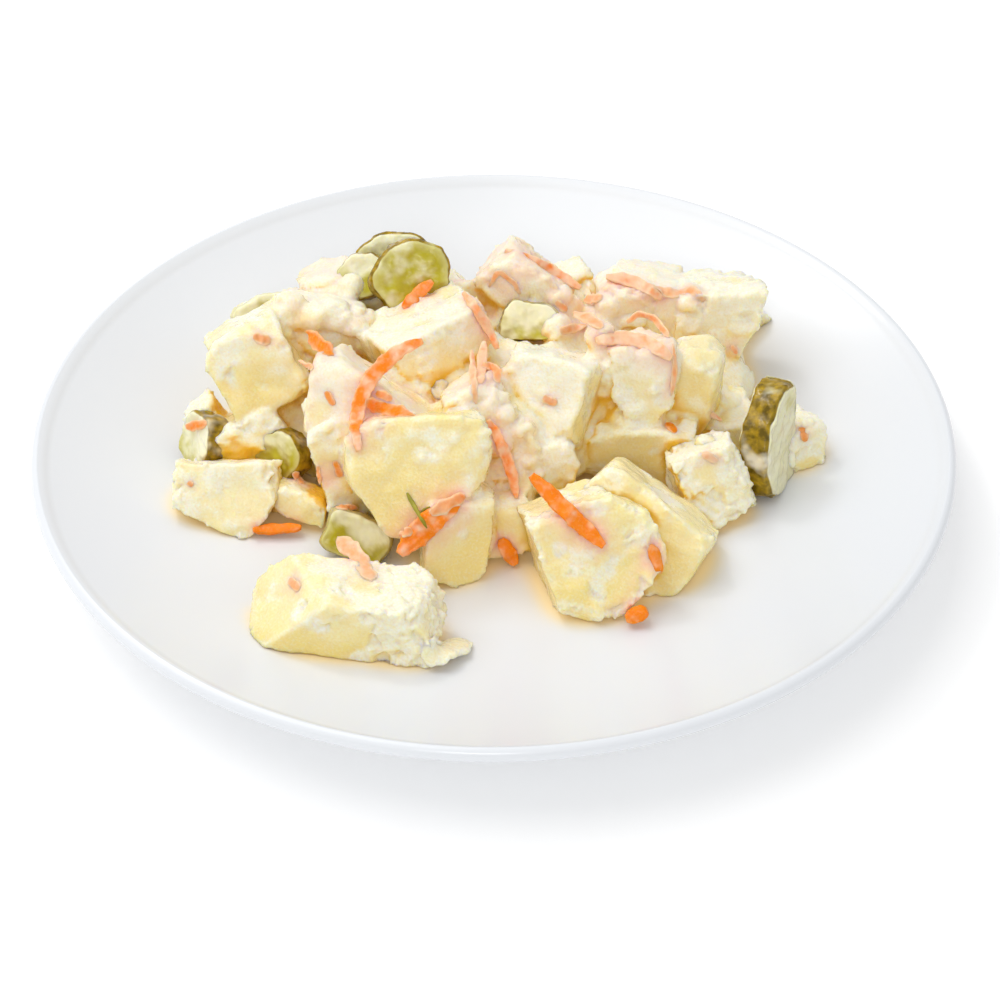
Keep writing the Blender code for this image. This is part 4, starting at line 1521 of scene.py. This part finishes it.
# %% Glazed porcelain
porcelain, tree = blank_material("glazed porcelain, fired")
glow = attribute(tree, "glow")
glaze = mixed(tree, wave_noise(tree, size=60.0), "#E6E9ED", "#E3E6EA")
finish = {
    # Painted light: the glaze is tinted warm and given a faint amber emission near the food.
    "Base Color": mixed(tree, glow, glaze, "#F6E6BC"),
    "Roughness": 0.22,
    "IOR": 1.5,
    "Emission Color": "#FFD070",
    "Emission Strength": sums(tree, "MULTIPLY", glow, 0.035),
    "Normal": bumped(tree, wave_noise(tree, size=14.0), strength=0.05, height=0.4),
}
shade([plate], porcelain, finish)

# %% [markdown]
# Boiled waxy potato is full of water, so light goes in, spreads a few millimetres and comes
# out yellower. The dressing on it is an emulsion, paler and nearly opaque. Both are one
# material here, because they shade into each other, and the attributes say where each is.

# %% Boiled potato with dressing
potato_flesh, tree = blank_material("boiled waxy potato, dressed")
names = ("coat", "gold", "deep", "torn", "stain")
coat, gold, deep, torn, stain = (attribute(tree, name) for name in names)
grain = wave_noise(tree, size=0.7)
patches = wave_noise(tree, size=12.0, detail=3.0)
# gold is the flesh's own yellowness plus painted shade towards each chunk's foot.
flesh = mixed(tree, gold, "#FFEDC6", "#FFE298")
flesh = mixed(tree, ranged(tree, patches, low=0.4, high=0.75, top=0.4), flesh, "#FFE6A2")
cream = mixed(tree, wave_noise(tree, size=5.0), "#FFF9EE", "#FFF1DA")
# coat is dressing plus a painted sheen on each chunk's upper half.
pale = sums(tree, "MULTIPLY", sums(tree, "MAXIMUM", coat, torn), 0.8)
surface = mixed(tree, pale, flesh, cream)
glassy = ranged(tree, grain, low=0.48, high=0.25, top=0.3)
surface = mixed(tree, glassy, surface, "#F2D48C")
# The white specks on the grain are painted glints, more of them on the dressing and torn flesh.
speck = ranged(tree, grain, low=0.5, high=0.72, top=0.5)
speck = sums(tree, "MULTIPLY", speck, sums(tree, "ADD", pale, 0.5))
surface = mixed(tree, speck, surface, "#FFFCF2")
# Painted shade: amber in the gaps and on faces turned away from the key light, darker where deepest.
amber = mixed(tree, ranged(tree, deep, low=0.4, high=1.0, top=1.0), "#FFE290", "#EEC244")
surface = mixed(tree, deep, surface, amber)
blush = mixed(tree, wave_noise(tree, size=2.5), "#FFB698", "#FFD8C8")
dull = ranged(tree, coat, low=0.0, high=1.0, top=0.26, bottom=0.14)
fine = bumped(tree, grain, strength=0.6, height=0.3)
finish = {
    "Base Color": mixed(tree, stain, surface, blush),
    "Roughness": sums(tree, "ADD", dull, sums(tree, "MULTIPLY", grain, 0.12)),
    "IOR": 1.38,
    "Subsurface Weight": 0.9,
    "Subsurface Radius": (1.0, 0.88, 0.22),
    "Subsurface Scale": 2.0 * MM,
    "Normal": bumped(tree, wave_noise(tree, size=2.2, detail=4.0), strength=0.12, height=0.8, Normal=fine),
}
shade(potatoes, potato_flesh, finish)

# %% [markdown]
# Pickling turns a gherkin's chlorophyll olive and makes its flesh glassy. Its rind is a thin
# darker skin with mottles, and near it the flesh is firmer and paler.

# %% Pickled gherkin
gherkin_flesh, tree = blank_material("pickled gherkin, cut")
names = ("rim", "rind", "seeds", "pale", "coat", "deep")
rim, rind, seeds, pale, coat, deep = (attribute(tree, name) for name in names)
clouds = wave_noise(tree, size=4.0, detail=4.0)
wet_flesh = mixed(tree, clouds, "#CCC43C", "#AEA01E")
firm_flesh = mixed(tree, clouds, "#F8F6DC", "#E8E6B8")
ring = ranged(tree, rim, low=0.7, high=0.95, top=0.4)
# pale carries a painted sheen on each slice's upper half and painted shade on its lower half.
flesh = mixed(tree, sums(tree, "MAXIMUM", ring, pale), wet_flesh, firm_flesh)
flesh = mixed(tree, sums(tree, "MULTIPLY", seeds, 0.3), flesh, "#F3EBC0")
# Painted shade: darker olive in gaps and on faces turned away from the key light.
flesh = mixed(tree, sums(tree, "MULTIPLY", deep, 0.6), flesh, "#9A7A14")
mottle = ranged(tree, wave_noise(tree, size=2.4, detail=4.0), low=0.35, high=0.7, top=1.0)
skin = mixed(tree, mottle, "#6A560C", "#BE9C20")
surface = mixed(tree, rind, flesh, skin)
finish = {
    "Base Color": mixed(tree, sums(tree, "MULTIPLY", coat, 0.7), surface, "#FBF6E4"),
    "Roughness": 0.2,
    "IOR": 1.34,
    "Subsurface Weight": 0.5,
    "Subsurface Radius": (1.0, 0.9, 0.3),
    "Subsurface Scale": 1.5 * MM,
    "Normal": bumped(tree, wave_noise(tree, size=1.2, detail=3.0), strength=0.3, height=0.4),
}
shade(slices.values(), gherkin_flesh, finish)

# %% Grated carrot
carrot_flesh, tree = blank_material("grated carrot")
coat = attribute(tree, "coat")
orange = mixed(tree, wave_noise(tree, size=1.1, detail=3.0), "#FA7C00", "#FF9408")
peach = mixed(tree, wave_noise(tree, size=2.0), "#FFBC8C", "#FFDEC4")
fibre = wave_noise(tree, size=0.8)
speck = ranged(tree, fibre, low=0.55, high=0.75, top=0.2)
finish = {
    "Base Color": mixed(tree, speck, mixed(tree, coat, orange, peach), "#FFD9A4"),
    "Roughness": 0.3,
    "IOR": 1.33,
    "Subsurface Weight": 0.5,
    "Subsurface Radius": (1.0, 0.5, 0.2),
    "Subsurface Scale": 2.0 * MM,
    "Normal": bumped(tree, fibre, strength=0.6, height=0.3),
}
shade([*shreds.values(), carrot_bits], carrot_flesh, finish)

# %% Dill
dill_leaf, tree = blank_material("dill, fresh")
green = mixed(tree, wave_noise(tree, size=2.0), "#85801C", "#B0A83C")
shade([dill], dill_leaf, {"Base Color": green, "Roughness": 0.4, "IOR": 1.4})

# %% [markdown]
# ## Floor and light
# The photograph is high key: a white ground that is brighter than the plate, light from all
# sides and a large soft light overhead, a little behind the dish.

# %% Floor
FLOOR_SIZE = 6.0
WHITE = (1, 1, 1, 1)
half = FLOOR_SIZE / 2
corners = [(-half, -half, 0), (half, -half, 0), (half, half, 0), (-half, half, 0)]
floor_mesh = bpy.data.meshes.new("floor")
floor_mesh.from_pydata(corners, [], [(0, 1, 2, 3)])
floor = shown("floor", floor_mesh)
paper, tree = blank_material("white paper, matt")
finish = {"Base Color": "#E8E8E8", "Roughness": 0.9, "Emission Color": WHITE, "Emission Strength": 0.23}
shade([floor], paper, finish)
floor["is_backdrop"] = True

# %% Light
world = bpy.data.worlds.new("white room")
bpy.context.scene.world = world
world.use_nodes = True
background = world.node_tree.nodes["Background"]
background.inputs["Color"].default_value = WHITE
background.inputs["Strength"].default_value = 0.64


def soft_light(name, place, size, power):
    """A square white area light that looks at the middle of the plate."""
    data = bpy.data.lights.new(name, "AREA")
    data.size = size
    data.energy = power
    made = shown(name, data)
    made.location = place
    made.rotation_euler = (-Vector(place)).to_track_quat("-Z", "Y").to_euler()


soft_light("key", place=(-0.6, 0.15, 1.3), size=1.2, power=9.0)
soft_light("front", place=(-0.1, -1.3, 1.0), size=0.4, power=3.8)
soft_light("sparkle", place=(-0.4, 0.5, 0.9), size=0.2, power=1.5)
bpy.context.scene.view_settings.view_transform = "Standard"
print("lights", len(bpy.data.lights))

# %% [markdown]
# ## Sizes
# The model's box and the finished salad's box are gathered side by side.

# %% Sizes
boxes = {"cad": cad_box, "visual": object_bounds()}
{name: [list(corner) for corner in box] for name, box in boxes.items()}
